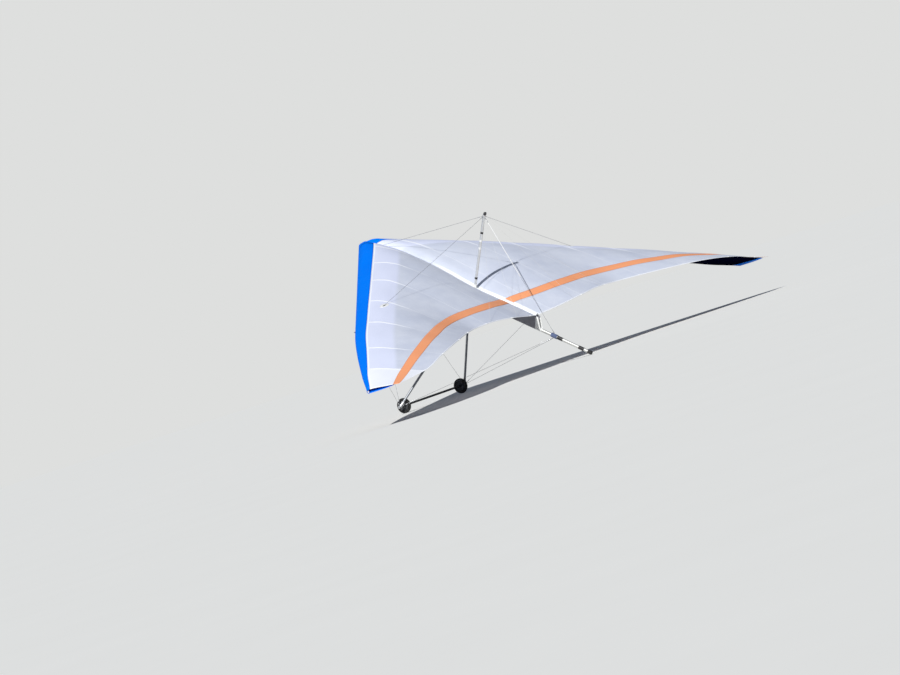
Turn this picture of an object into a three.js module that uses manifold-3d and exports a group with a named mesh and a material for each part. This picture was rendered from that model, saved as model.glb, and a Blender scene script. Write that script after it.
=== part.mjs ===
// A flexible-wing hang glider, parked tail-down on its two control-bar wheels and the end of its keel.
// Millimetres. The glider is drawn level, with its nose at the origin: +X to the left wing tip,
// +Y aft along the keel, +Z up. The last lines pitch it nose-up until wheels and keel end share the floor.
import * as THREE from 'three';
import { mergeVertices } from 'three/addons/utils/BufferGeometryUtils.js';
import Module from 'manifold-3d';

const wasm = await Module();
wasm.setup();

// Driving sizes
const GAP = 0.3;                    // between pieces that touch
const KEEL = { radius: 21, start: 24, end: 3560 };
const KEEL_CAP = { radius: 25, length: 34, lap: 24 };
const EDGE_TUBE = { radius: 25, slope: 0.5972, start: 52, joint: 3100, end: 4560 };
const TIP = { start: 24, end: 9, reach: 4926 };     // the wand that carries each tip beyond the tube
const SAIL = { cloth: 3, wrap: 33, tipWrap: 17, crown: 0.25 };   // thickness, radius round tube and wand, crown
const COVER = { half: 160, radius: 44 };            // the nose cover's half width and radius
const CREASE = { depth: 92, half: 75 };             // the sail is drawn down along its middle behind the nose
const CENTRE = { half: 32.5, raised: 5, crown: 20 };   // the round-backed strip along the middle of the sail
const CROSSBAR = { radius: 27.5, inner: 31.6, aft: 1600, up: 55, out: 3020, outAft: 1832, outUp: 56.1 };
const KINGPOST = { radius: 18, foot: [0, 1747, 45], top: [0, 1570, 1118] };
const APEX = [0, 1700, -52];
const CORNER = [836, 1565, -1475];
const DOWNTUBE = { radius: 15 };
const BASE_BAR = { radius: 14 };
const WHEEL = { across: 735, radius: 100, width: 40, rim: 62, bore: 14.4 };
const SOCKET = { wall: 4, inner: 58, outer: 34, up: 74 };   // the corner fitting round bar and downtube
const WIRE = 2;                     // radius of the stays
const LOOP = { aft: 1850, half: 24, web: 4, width: 40, drop: 300 };

// The wing from root to tip: where the leading-edge tube's axis runs, where the trailing edge runs, and
// what lies between them. All sizes are level millimetres.
// across tubeAft tubeUp edgeAft edgeUp camber nose strip under stripeFront stripeRear
const WING = [
  [0,    -24,   0,     2691,  155,  70,   128,  185,  430,  2160,  2275],
  [400,  215,   15.5,  2760,  241,  156,  100,  180,  450,  2276,  2391],
  [900,  514,   35,    2801,  329,  199,  56,   170,  470,  2365,  2478],
  [1400, 812,   54,    2784,  354,  188,  46,   160,  470,  2386,  2500],
  [1900, 1111,  74,    2806,  358,  160,  49,   150,  470,  2416,  2530],
  [2400, 1409,  93,    2952,  443,  128,  47,   140,  470,  2545,  2660],
  [2900, 1708,  112.5, 3132,  543,  95,   37,   134,  470,  2700,  2830],
  [3400, 2012,  132,   3290,  611,  70,   33,   122,  680,  2868,  2994],
  [3900, 2354,  151,   3419,  620,  48,   33,   106,  930,  3030,  3155],
  [4300, 2646,  167,   3508,  579,  32,   33,   76,   780,  3162,  3275],
  [4600, 2870,  178,   3491,  517,  20,   31,   46,   560,  3266,  3373],
  [4915, 3099,  190.6, 3473,  468,  8,    17,   30,   320,  3398,  3466],
];
const COLUMNS = ['across', 'tubeAft', 'tubeUp', 'edgeAft', 'edgeUp', 'camber', 'nose', 'strip', 'under',
  'stripeFront', 'stripeRear'];
const RIBS = [0, COVER.half / 2, COVER.half + 2, 270, 400, 650, 900, 1150, 1400, 1650, 1900, 2150, 2400, 2650,
  2900, 3150, 3400, 3650, 3900, 4100, 4300, 4450, 4600, 4760, 4915];

const colours = {
  white: ['#ccd2e2', 0.55, 0], orange: ['#ee9f66', 0.55, 0], blue: ['#0080f8', 0.5, 0],
  tube: ['#c9ccd0', 0.35, 0.9], bright: ['#dcdee0', 0.3, 0.9], black: ['#15151a', 0.6, 0],
  rubber: ['#1c1c1f', 0.85, 0], hub: ['#83878c', 0.5, 0.1], wire: ['#8d9094', 0.35, 1],
  webbing: ['#e8e8e4', 0.8, 0],
};

const level = new THREE.Group();

function add(name, geometry, colour, parent = level) {
  const [color, roughness, metalness] = colours[colour];
  const mesh = new THREE.Mesh(geometry, new THREE.MeshStandardMaterial({ color, roughness, metalness }));
  mesh.name = name;
  parent.add(mesh);
  return mesh;
}

const point = (p) => new THREE.Vector3(...p);
const along = (a, b, t) => a.map((v, i) => v + (b[i] - v) * t);
const mirrored = (p, side) => [p[0] * side, p[1], p[2]];
const distance = (a, b) => point(a).distanceTo(point(b));

// A straight round bar from a to b, which may taper
function rod(a, b, radius, sides = 16, endRadius = radius) {
  const axis = point(b).sub(point(a));
  const geometry = new THREE.CylinderGeometry(endRadius, radius, axis.length(), sides);
  geometry.applyQuaternion(new THREE.Quaternion().setFromUnitVectors(
    new THREE.Vector3(0, 1, 0), axis.clone().normalize()));
  const middle = along(a, b, 0.5);
  return geometry.translate(...middle);
}

function box(low, high) {
  const size = high.map((v, i) => v - low[i]);
  return new THREE.BoxGeometry(...size).translate(...along(low, high, 0.5));
}

// A turned piece: a closed outline of [radius, distance along the axis], turned about an axis along X or Y
function turned(outline, axis, sides = 24) {
  const ring = outline.map((p) => new THREE.Vector2(...p));
  if (THREE.ShapeUtils.isClockWise(ring)) ring.reverse();
  const geometry = new THREE.LatheGeometry([...ring, ring[0]], sides);
  if (axis === 'x') geometry.rotateZ(-Math.PI / 2);
  return geometry;
}

// Joining and cutting closed solids
function solid(geometry) {
  const bare = geometry.clone();
  for (const name of ['normal', 'uv']) if (bare.attributes[name]) bare.deleteAttribute(name);
  const merged = mergeVertices(bare, 1e-4);
  return new wasm.Manifold(new wasm.Mesh({ numProp: 3,
    vertProperties: new Float32Array(merged.attributes.position.array),
    triVerts: new Uint32Array(merged.index.array) }));
}

function surface(body) {
  const mesh = body.getMesh();
  const geometry = new THREE.BufferGeometry();
  geometry.setAttribute('position', new THREE.BufferAttribute(new Float32Array(mesh.vertProperties), 3));
  geometry.setIndex(new THREE.BufferAttribute(new Uint32Array(mesh.triVerts), 1));
  return geometry;
}

const joined = (first, ...rest) => surface(rest.reduce((sum, one) => sum.add(solid(one)), solid(first)));
const cut = (first, ...tools) => surface(tools.reduce((sum, one) => sum.subtract(solid(one)), solid(first)));

// A sheet of cloth from a grid of outer points. Inner points come from the function inward(row, column).
function sheet(outer, inward, flip = false) {
  const rows = outer.length;
  const columns = outer[0].length;
  const positions = [];
  for (const grid of [outer, outer.map((row, i) => row.map((p, j) => inward(p, i, j)))]) {
    for (const row of grid) for (const p of row) positions.push(...p);
  }
  const at = (layer, i, j) => layer * rows * columns + i * columns + j;
  const index = [];
  const quad = (a, b, c, d) => index.push(...(flip ? [a, c, b, a, d, c] : [a, b, c, a, c, d]));
  for (let i = 0; i < rows - 1; i++) {
    for (let j = 0; j < columns - 1; j++) {
      quad(at(0, i, j), at(0, i + 1, j), at(0, i + 1, j + 1), at(0, i, j + 1));
      quad(at(1, i, j), at(1, i, j + 1), at(1, i + 1, j + 1), at(1, i + 1, j));
    }
    quad(at(0, i, 0), at(1, i, 0), at(1, i + 1, 0), at(0, i + 1, 0));
    const last = columns - 1;
    quad(at(0, i, last), at(0, i + 1, last), at(1, i + 1, last), at(1, i, last));
  }
  for (let j = 0; j < columns - 1; j++) {
    quad(at(0, 0, j), at(0, 0, j + 1), at(1, 0, j + 1), at(1, 0, j));
    const last = rows - 1;
    quad(at(0, last, j), at(1, last, j), at(1, last, j + 1), at(0, last, j + 1));
  }
  const geometry = new THREE.BufferGeometry();
  geometry.setAttribute('position', new THREE.Float32BufferAttribute(positions, 3));
  geometry.setIndex(index);
  return geometry;
}

// A table column at any distance across the wing, by cubic interpolation through the rows
function column(name, x) {
  const c = COLUMNS.indexOf(name);
  const last = WING.length - 1;
  let i = 0;
  while (i < last - 1 && x > WING[i + 1][0]) i++;
  const slope = (k) => {
    const a = WING[Math.max(k - 1, 0)];
    const b = WING[Math.min(k + 1, last)];
    return (b[c] - a[c]) / (b[0] - a[0]);
  };
  const span = WING[i + 1][0] - WING[i][0];
  const t = (x - WING[i][0]) / span;
  const [h00, h10] = [(1 + 2 * t) * (1 - t) ** 2, t * (1 - t) ** 2];
  const [h01, h11] = [t * t * (3 - 2 * t), t * t * (t - 1)];
  return h00 * WING[i][c] + h10 * span * slope(i) + h01 * WING[i + 1][c] + h11 * span * slope(i + 1);
}

// The sail's section at x: it wraps the tube below, stands as high as `nose` over it, and is highest at the crown
function section(x) {
  const get = (name) => column(name, x);
  const sweep = (column('tubeAft', x + 1) - column('tubeAft', Math.max(x - 1, 0))) / (x < 1 ? x + 1 : 2);
  const outboard = Math.min(Math.max((x - 4500) / 415, 0), 1);
  const wrap = SAIL.wrap + (SAIL.tipWrap - SAIL.wrap) * outboard * outboard * (3 - 2 * outboard);
  const noseAft = wrap * Math.hypot(1, x < 100 ? EDGE_TUBE.slope : sweep);
  const noseUp = get('nose') - CREASE.depth * Math.exp(-((x / CREASE.half) ** 2));
  const reach = Math.max(noseAft, 0.8 * noseUp);
  const front = get('tubeAft') - noseAft;
  const chord = get('edgeAft') - front;
  const rise = get('edgeUp') - get('tubeUp');
  const sag = 34 * Math.exp(-((x / 260) ** 2));
  const top = (y) => {
    const s = Math.max(y - front, 0);
    const t = s / chord;
    const w = Math.max((t - SAIL.crown) / (1 - SAIL.crown), 0);
    const camber = t < SAIL.crown ? 1 - (1 - t / SAIL.crown) ** 2
      : 0.5 * ((1 - w) ** 2 * (1 + 2 * w) + 1 - w * w);
    const bulge = s < reach ? Math.sqrt(1 - (1 - s / reach) ** 2) : 1;
    const dip = sag * Math.exp(-(((y - 1740) / 420) ** 2));
    return get('tubeUp') + rise * t + get('camber') * camber + noseUp * bulge * (1 - t) - dip;
  };
  return { x, get, front, wrap, noseAft, chord, top };
}

// Keel and what is on it
add('keel_tube', rod([0, KEEL.start, 0], [0, KEEL.end, 0], KEEL.radius, 24), 'tube');
const ring = (from, to, outer) => turned([[KEEL.radius + GAP, from], [outer, from], [outer, to],
  [KEEL.radius + GAP, to]], 'y', 24);
// name, from, to, radius, colour
for (const [name, from, to, radius, colour] of [
  ['keel_collar', 2970, 3060, 30, 'blue'],
  ['keel_sleeve_front', 3066, 3147, 24, 'black'],
  ['keel_sleeve_rear', 3395, 3477, 24, 'black'],
]) add(name, ring(from, to, radius), colour);
add('keel_cap', turned([[0, KEEL.end + GAP], [KEEL.radius + GAP, KEEL.end + GAP],
  [KEEL.radius + GAP, KEEL.end - KEEL_CAP.lap], [KEEL_CAP.radius, KEEL.end - KEEL_CAP.lap],
  [KEEL_CAP.radius, KEEL.end + KEEL_CAP.length - 4], [KEEL_CAP.radius - 4, KEEL.end + KEEL_CAP.length],
  [0, KEEL.end + KEEL_CAP.length]], 'y', 24), 'rubber');

// Nose plates clamp the keel and both leading-edge tubes between them
const plate = new THREE.Shape([[-36, -8], [36, -8], [106, 37], [98, 112], [34, 150], [-34, 150], [-98, 112],
  [-106, 37]].map((p) => new THREE.Vector2(...p)));
const plateSolid = () => new THREE.ExtrudeGeometry(plate, { depth: 4, bevelEnabled: false });
add('nose_plate_top', plateSolid().translate(0, 0, 29.5), 'bright');
add('nose_plate_bottom', plateSolid().translate(0, 0, -27.3), 'bright');

// Leading-edge tubes, their caps and the brackets that take the crossbar, and the crossbar halves
const tubeAxis = (x) => [x, column('tubeAft', x), column('tubeUp', x)];
const straight = (x) => [x, 215 + (x - 400) * EDGE_TUBE.slope, 15.5 + (x - 400) * 0.0388];
class TubeCurve extends THREE.Curve {
  constructor(points) {
    super();
    this.path = new THREE.CatmullRomCurve3(points.map(point));
  }
  getPoint(t, target) { return this.path.getPoint(t, target); }
}
const circle = (radius, sides) => new THREE.Shape(Array.from({ length: sides }, (_, k) => {
  const a = (k / sides) * 2 * Math.PI;
  return new THREE.Vector2(radius * Math.cos(a), radius * Math.sin(a));
}));
const bracketTop = (x) => straight(x)[2] - EDGE_TUBE.radius - GAP;

for (const [word, side] of [['left', 1], ['right', -1]]) {
  const m = (p) => mirrored(p, side);
  add(`leading_tube_front_${word}`, rod(m(straight(EDGE_TUBE.start)), m(straight(EDGE_TUBE.joint)),
    EDGE_TUBE.radius, 20), 'tube');
  const outer = [EDGE_TUBE.joint + GAP, 3400, 3900, 4300, EDGE_TUBE.end];
  const path = outer.map((x, i) => m(i === 0 ? straight(x) : tubeAxis(x)));
  add(`leading_tube_rear_${word}`, new THREE.ExtrudeGeometry(circle(EDGE_TUBE.radius, 20),
    { steps: 14, extrudePath: new TubeCurve(path), bevelEnabled: false }), 'tube');
  const [root, tip] = [tubeAxis(EDGE_TUBE.end), tubeAxis(4915)];
  const near = along(root, tip, 0.6 / distance(root, tip));
  const outward = along(root, tip, (TIP.reach - root[0]) / (tip[0] - root[0]));
  add(`tip_cap_${word}`, rod(m(near), m(outward), TIP.start, 20, TIP.end), 'webbing');

  const bracket = new THREE.BoxGeometry(120, 116, 6);
  bracket.rotateY(-side * Math.atan(0.0388));
  bracket.translate(side * 3030, 1820, bracketTop(3030) - 3);
  add(`crossbar_bracket_${word}`, bracket, 'bright');
  add(`crossbar_${word}`, rod(m([CROSSBAR.inner, CROSSBAR.aft, CROSSBAR.up]),
    m([CROSSBAR.out, CROSSBAR.outAft, CROSSBAR.outUp]), CROSSBAR.radius, 20), 'tube');
}
add('crossbar_hinge', box([-29, CROSSBAR.aft - 22, KEEL.radius + GAP], [29, CROSSBAR.aft + 22, 84]), 'bright');

// Kingpost, with the foot that stands on the keel
const foot = box([-16, 1716, KEEL.radius + GAP], [16, 1778, 42]);
add('kingpost_foot', foot, 'bright');
add('kingpost', rod(KINGPOST.foot, KINGPOST.top, KINGPOST.radius, 20), 'tube');
const past = (a, b, extra) => along(a, b, 1 + extra / distance(a, b));
add('kingpost_cap', rod(past(KINGPOST.foot, KINGPOST.top, GAP), past(KINGPOST.foot, KINGPOST.top, 26),
  KINGPOST.radius + 3, 20), 'black');

// Control frame: apex bracket, downtubes, corner fittings with the wheel axles, and the base bar
const socketTop = (side) => along(APEX, mirrored(CORNER, side), 0.06);
const apexBox = box([-42, APEX[1] - 34, -74], [42, APEX[1] + 34, -KEEL.radius - GAP]);
add('apex_bracket', joined(apexBox, rod(APEX, socketTop(1), DOWNTUBE.radius + 4, 20),
  rod(APEX, socketTop(-1), DOWNTUBE.radius + 4, 20)), 'bright');
const seat = { downtube: DOWNTUBE.radius + SOCKET.wall, bar: BASE_BAR.radius + SOCKET.wall };
for (const [word, side] of [['left', 1], ['right', -1]]) {
  const corner = mirrored(CORNER, side);
  const low = past(APEX, corner, -SOCKET.up);
  const inner = [corner[0] - side * SOCKET.inner, corner[1], corner[2]];
  const outer = [corner[0] + side * SOCKET.outer, corner[1], corner[2]];
  add(`downtube_${word}`, rod(past(APEX, socketTop(side), GAP), past(corner, low, GAP),
    DOWNTUBE.radius, 20), 'tube');
  add(`corner_fitting_${word}`, joined(rod(corner, low, seat.downtube, 20), rod(inner, outer, seat.bar, 20)),
    'bright');
  // a collar on the bar keeps the wheel in its place against the fitting
  const stop = side * (WHEEL.across - WHEEL.width / 2 - 9);
  add(`wheel_collar_${word}`, turned([[BASE_BAR.radius + GAP, -6], [20, -6], [20, 6], [BASE_BAR.radius + GAP, 6]],
    'x').translate(stop, corner[1], corner[2]), 'black');
}
const barEnd = CORNER[0] - SOCKET.inner - GAP;
add('base_bar', rod([barEnd, CORNER[1], CORNER[2]], [-barEnd, CORNER[1], CORNER[2]], BASE_BAR.radius, 20), 'black');

// Nose-up angle at which the wheels and the keel cap's lower rim stand on one floor
const rim = [KEEL.end + KEEL_CAP.length - 4, -KEEL_CAP.radius];
const aft = rim[0] - CORNER[1];
const down = CORNER[2] - rim[1];
const pitch = Math.asin(WHEEL.radius / Math.hypot(aft, down)) - Math.atan2(down, aft);

// Wheels turn on the axles. Their facets are turned back by the pitch, so that a tread flat stands on the floor.
for (const [word, side] of [['left', 1], ['right', -1]]) {
  const wheel = new THREE.Group();
  wheel.position.set(side * WHEEL.across, CORNER[1], CORNER[2]);
  wheel.rotation.x = pitch;
  level.add(wheel);
  const h = WHEEL.width / 2;
  const r = WHEEL.radius;
  const rimOut = WHEEL.rim;
  add(`tyre_${word}`, turned([[rimOut + GAP, -h + 8], [74, -h + 1], [88, -h], [96, -h + 5], [r, -h + 14],
    [r, h - 14], [96, h - 5], [88, h], [74, h - 1], [rimOut + GAP, h - 8]], 'x', 32), 'rubber', wheel);
  add(`hub_${word}`, turned([[WHEEL.bore, -h + 1], [26, -h + 1], [28, -h + 10], [54, -h + 10], [57, -h + 4],
    [rimOut, -h + 8], [rimOut, h - 8], [57, h - 4], [54, h - 10], [28, h - 10], [26, h - 1],
    [WHEEL.bore, h - 1]], 'x', 32), 'hub', wheel);
}

// Main stays. Each starts just clear of the round pieces that meet at its anchor, given as [direction, radius]
function clearOf(centre, target, pieces) {
  const way = point(target).sub(point(centre)).normalize();
  const reach = Math.max(...pieces.map(([direction, radius]) => {
    const angle = way.angleTo(point(direction).normalize());
    return (radius + GAP + WIRE * Math.abs(Math.cos(angle))) / Math.sin(angle);
  }));
  return point(centre).addScaledVector(way, reach).toArray();
}
const kingTop = along(KINGPOST.foot, KINGPOST.top, 0.985);
const kingAxis = [[KINGPOST.foot.map((v, i) => KINGPOST.top[i] - v), KINGPOST.radius]];
const sideTop = [3030, 1786, straight(3030)[2] + EDGE_TUBE.radius + WIRE + GAP];
const stays = [];
for (const [word, side] of [['left', 1], ['right', -1]]) {
  const m = (p) => mirrored(p, side);
  const corner = m(CORNER);
  const pieces = [[[1, 0, 0], seat.bar], [corner.map((v, i) => v - APEX[i]), seat.downtube]];
  for (const [name, to] of [['side_stay_lower', [2992, 1790, 82.7]], ['front_stay_lower', [50.9, 142, -25.3]],
    ['rear_stay_lower', [13.4, 3012, -28.8]]]) {
    stays.push([`${name}_${word}`, clearOf(corner, m(to), pieces), m(to)]);
  }
  stays.push([`side_stay_upper_${word}`, clearOf(kingTop, m(sideTop), kingAxis), m(sideTop)]);
}
for (const [name, to] of [['front_stay_upper', [0, 120, 35.5]], ['rear_stay_upper', [0, 3004, 32.1]]]) {
  stays.push([name, clearOf(kingTop, to, kingAxis), to]);
}
for (const [name, from, to] of stays) add(name, rod(from, to, WIRE, 8), 'wire');
const stayHole = (name, t0, t1, radius) => {
  const [, from, to] = stays.find((stay) => stay[0] === name);
  return rod(along(from, to, t0), along(from, to, t1), radius, 10);
};

// Upper sail panels: white in front, the orange stripe, white behind; each hangs its thickness straight down
const downward = (p) => [p[0], p[1], p[2] - SAIL.cloth];
const ribs = RIBS.map((x) => section(Math.max(x, CENTRE.half + GAP)));
const underEdge = (rib) => rib.front + rib.get('under');
const bend = (rib) => Math.min(underEdge(rib), rib.get('stripeFront') - 100);
// A panel's rows of points from edge to edge; edges are [aft position, steps from the edge before]
const panel = (first, ...edges) => ribs.map((rib) => {
  const row = [first(rib)];
  for (const [edge, steps] of edges) {
    const start = row[row.length - 1];
    for (let k = 1; k <= steps; k++) row.push(start + ((edge(rib) - start) * k) / steps);
  }
  return row.map((y) => [rib.x, y, rib.top(y)]);
});
const edgeOf = (name) => (rib) => rib.get(name);
const seam = 0.5;
const panels = [
  ['sail_front', 'white', panel((r) => r.front + r.get('strip') + seam, [bend, 4], [edgeOf('stripeFront'), 6])],
  ['sail_stripe', 'orange', panel((r) => r.get('stripeFront') + seam, [edgeOf('stripeRear'), 1])],
  ['sail_rear', 'white', panel((r) => r.get('stripeRear') + seam, [edgeOf('edgeAft'), 3])],
];
const flipX = (grid) => grid.map((row) => row.map(([x, y, z]) => [-x, y, z]));
for (const [name, colour, grid] of panels) {
  for (const [word, side] of [['left', 1], ['right', -1]]) {
    let body = sheet(side > 0 ? grid : flipX(grid), downward, side < 0);
    if (name === 'sail_front') body = cut(body, stayHole(`side_stay_upper_${word}`, 0.7, 1, 14));
    add(`${name}_${word}`, body, colour);
  }
}

// Blue leading-edge skin: a strip on top, round the tube, and the lower surface back to its rear edge
function skinRow(rib) {
  const strip = rib.get('strip');
  const row = [];
  for (const f of [1, 0.7, 0.45, 0.22, 0.08]) {
    const y = rib.front + strip * f;
    row.push([rib.x, y, rib.top(y)]);
  }
  const [yc, zc] = [rib.get('tubeAft'), rib.get('tubeUp')];
  for (const degrees of [180, 210, 240, 270, 305]) {
    const a = (degrees * Math.PI) / 180;
    row.push([rib.x, yc + rib.noseAft * Math.cos(a), zc + rib.wrap * Math.sin(a)]);
  }
  const rear = underEdge(rib);
  const rearUp = rib.top(rear) - 2 * SAIL.cloth - 3;
  const belly = Math.max(6, 0.11 * (rib.get('under') - 400));   // the wider it is, the fuller it hangs
  const low = row[row.length - 1];
  for (const f of [0.3, 0.65, 1]) {
    const y = low[1] + (rear - low[1]) * f;
    row.push([rib.x, y, low[2] + (rearUp - low[2]) * f - Math.sin(Math.PI * f) * belly]);
  }
  return row;
}
// Cloth lies inside the skin's outer points: straight down along its top edge, up along the lower surface
function skinInward(row) {
  return row.map((p, j) => {
    if (j === 0) return [p[0], p[1], p[2] - SAIL.cloth];
    if (j > 9) return [p[0], p[1], p[2] + SAIL.cloth];
    const [a, b] = [row[j - 1], row[j + 1]];
    const [dy, dz] = [b[1] - a[1], b[2] - a[2]];
    const size = Math.hypot(dy, dz);
    return [p[0], p[1] - (dz / size) * SAIL.cloth, p[2] + (dy / size) * SAIL.cloth];
  });
}
const skinRibs = RIBS.filter((x) => x > COVER.half).map(section);
const notch = (side) => {
  const [a, b] = [side * 2950, side * 3110];
  return box([Math.min(a, b), 1700, 0], [Math.max(a, b), 1960, 107]);
};
for (const [word, side] of [['left', 1], ['right', -1]]) {
  const grid = skinRibs.map(skinRow);
  const outer = side > 0 ? grid : flipX(grid);
  const inner = outer.map(skinInward);
  const body = sheet(outer, (p, i, j) => inner[i][j], side > 0);
  add(`leading_edge_skin_${word}`, cut(body, notch(side)), 'blue');
}

// Nose cover: the same skin, fuller, across the middle, and open below for the nose plates and front stays
const coverRibs = [-1, -0.5, 0, 0.5, 1].map((f) => {
  const rib = section(Math.max(Math.abs(f) * COVER.half, 1));
  const fuller = SAIL.wrap + (COVER.radius - SAIL.wrap) * Math.cos((f * Math.PI) / 2);
  const row = [];
  const yc = rib.get('tubeAft') + 12 * (1 - f * f);
  const zc = rib.get('tubeUp');
  const rear = rib.front + rib.get('strip') - 0.2;
  const wide = (rib.noseAft * fuller) / SAIL.wrap;
  for (const t of [1, 0.75, 0.5, 0.28, 0.1]) {
    const y = yc + (rear - yc) * t;
    row.push([f * COVER.half, y, rib.top(y) + (fuller - SAIL.wrap) * (1 - t) ** 0.5]);
  }
  for (const part of [0.45, 0.16]) {
    const y = rib.front + wide * part;
    row.push([f * COVER.half, yc - wide + wide * part, rib.top(y) + (fuller - SAIL.wrap) * part]);
  }
  for (const degrees of [180, 200, 220, 240]) {
    const a = (degrees * Math.PI) / 180;
    row.push([f * COVER.half, yc + wide * Math.cos(a), zc + fuller * Math.sin(a)]);
  }
  return row;
});
const coverInner = coverRibs.map((row) => row.map((p, j) => {
  if (j === 0) return [p[0], p[1], p[2] - SAIL.cloth];
  const [a, b] = [row[j - 1], row[Math.min(j + 1, row.length - 1)]];
  const [dy, dz] = [b[1] - a[1], b[2] - a[2]];
  const size = Math.hypot(dy, dz);
  return [p[0], p[1] - (dz / size) * SAIL.cloth, p[2] + (dy / size) * SAIL.cloth];
}));
add('nose_cover', cut(sheet(coverRibs, (p, i, j) => coverInner[i][j], true),
  stayHole('front_stay_upper', 0.8, 1.02, 9)), 'blue');

// The round-backed strip along the middle of the sail, and the pocket that holds the sail's root to the keel
const root = section(CENTRE.half + GAP);
const rootTop = (y) => root.top(y);
const stripRows = [-1, -0.6, 0, 0.6, 1].map((f) => Array.from({ length: 15 }, (_, k) => {
  const y = root.front + root.get('strip') + 6 + ((root.get('edgeAft') - root.front - root.get('strip') - 6) * k) / 14;
  const crown = CENTRE.crown * Math.min(Math.max(y / 1000, 0.2), 1) * (1 - f * f);
  return [f * CENTRE.half, y, rootTop(y) + CENTRE.raised + crown];
}));
add('sail_centre_strip', cut(sheet(stripRows, (p) => [p[0], p[1], rootTop(p[1]) - SAIL.cloth]),
  rod(along(KINGPOST.foot, KINGPOST.top, 0), along(KINGPOST.foot, KINGPOST.top, 0.3), KINGPOST.radius + 4, 16),
  stayHole('front_stay_upper', 0.8, 1.02, 9)), 'white');

const pocket = { start: 1960, end: 2732, wall: 2.5, radius: KEEL.radius + GAP + 2.5 };
const pocketRows = [0, 0.25, 0.5, 0.75, 1].map((f) => {
  const y = pocket.start + (pocket.end - pocket.start) * f;
  const up = rootTop(Math.min(y, 2680)) - SAIL.cloth - 0.6;
  const row = [[-28, y, up], [-26, y, up * 0.5]];
  for (const degrees of [180, 205, 230, 250, 270, 290, 310, 335, 360]) {
    const a = (degrees * Math.PI) / 180;
    row.push([pocket.radius * 1.02 * Math.cos(a), y, pocket.radius * 1.02 * Math.sin(a)]);
  }
  row.push([26, y, up * 0.5], [28, y, up]);
  return row;
});
const pocketInner = pocketRows.map((row) => row.map((p) => {
  const size = Math.hypot(p[0], Math.min(p[2], 0));
  return [p[0] - (p[0] / size) * pocket.wall, p[1], p[2] - (Math.min(p[2], 0) / size) * pocket.wall];
}));
add('keel_pocket', sheet(pocketRows, (p, i, j) => pocketInner[i][j]), 'white');

// The webbing hang loop on the keel; it hangs plumb, so it is turned back by the pitch
const loopTop = (KEEL.radius + GAP) / Math.cos(pitch) + (LOOP.width / 2) * Math.tan(pitch);
const outline = (half, top, bottom, corner) => [[-half + corner, bottom], [half - corner, bottom],
  [half, bottom + corner], [half, top - corner], [half - corner, top], [-half + corner, top],
  [-half, top - corner], [-half, bottom + corner]].map((p) => new THREE.Vector2(...p));
const loop = new THREE.Shape(outline(LOOP.half + LOOP.web, loopTop + LOOP.web, -LOOP.drop - LOOP.web, 10));
loop.holes.push(new THREE.Path(outline(LOOP.half, loopTop, -LOOP.drop, 7)));
const loopSolid = new THREE.ExtrudeGeometry(loop, { depth: LOOP.width, bevelEnabled: false });
loopSolid.translate(0, 0, -LOOP.width / 2);
loopSolid.rotateX(Math.PI / 2);
const hang = add('hang_loop', loopSolid, 'webbing');
hang.position.set(0, LOOP.aft, 0);
hang.rotation.x = pitch;

// Parked: pitched nose-up, then set with the middle of its box on the origin and its lowest point on the floor
level.rotation.x = -pitch;
const glider = new THREE.Group();
glider.add(level);
glider.updateMatrixWorld(true);
const bounds = new THREE.Box3().setFromObject(glider, true);
level.position.set(-(bounds.min.x + bounds.max.x) / 2, -(bounds.min.y + bounds.max.y) / 2, -bounds.min.z);
glider.updateMatrixWorld(true);

export default glider;
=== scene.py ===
# %% [markdown]
# # A hang glider, parked on its two wheels and the end of its keel
#
# This file is a lesson in cells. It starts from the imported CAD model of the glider, which gives every size
# and place, and dresses it piece by piece: cloth, tubes, cast fittings, stays and wheels. Each cell says
# what the piece is on the real glider, how it could be made, and why it is made this way here.
#
# Everything is in metres. The floor is z = 0, the span runs along X, and the nose points up and towards -Y.

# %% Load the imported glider
import math
import bmesh
import bpy
import numpy as np
from mathutils import Matrix, Vector


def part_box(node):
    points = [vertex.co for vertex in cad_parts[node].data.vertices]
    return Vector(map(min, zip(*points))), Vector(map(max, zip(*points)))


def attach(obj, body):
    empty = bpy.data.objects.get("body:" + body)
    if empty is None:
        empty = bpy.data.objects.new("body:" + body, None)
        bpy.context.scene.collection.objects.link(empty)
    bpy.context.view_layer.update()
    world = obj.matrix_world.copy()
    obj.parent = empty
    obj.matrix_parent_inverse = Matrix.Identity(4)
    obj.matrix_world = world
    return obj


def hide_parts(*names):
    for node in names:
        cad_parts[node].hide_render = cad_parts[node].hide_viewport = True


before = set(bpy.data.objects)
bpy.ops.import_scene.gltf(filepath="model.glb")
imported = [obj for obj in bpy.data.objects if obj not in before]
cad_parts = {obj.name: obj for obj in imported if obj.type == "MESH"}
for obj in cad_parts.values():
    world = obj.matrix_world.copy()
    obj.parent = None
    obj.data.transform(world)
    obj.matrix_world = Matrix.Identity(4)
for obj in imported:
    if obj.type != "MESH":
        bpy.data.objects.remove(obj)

scene = bpy.context.scene
scene.view_settings.view_transform = "Standard"     # colours as measured, with no film curve
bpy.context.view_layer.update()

# %% [markdown]
# ## The glider's own directions
#
# A hang glider is drawn level: the keel runs straight aft and the kingpost stands on it. Parked, the whole
# glider is pitched nose-up. Instead of typing that angle again, the keel tube of the CAD model is used as a
# ruler. Its two ends give the aft direction, and from there "level" places can be turned into parked ones.

# %% Read a straight bar out of the CAD model
def unit(v):
    v = np.asarray(v, float)
    return v / np.linalg.norm(v)


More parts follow.
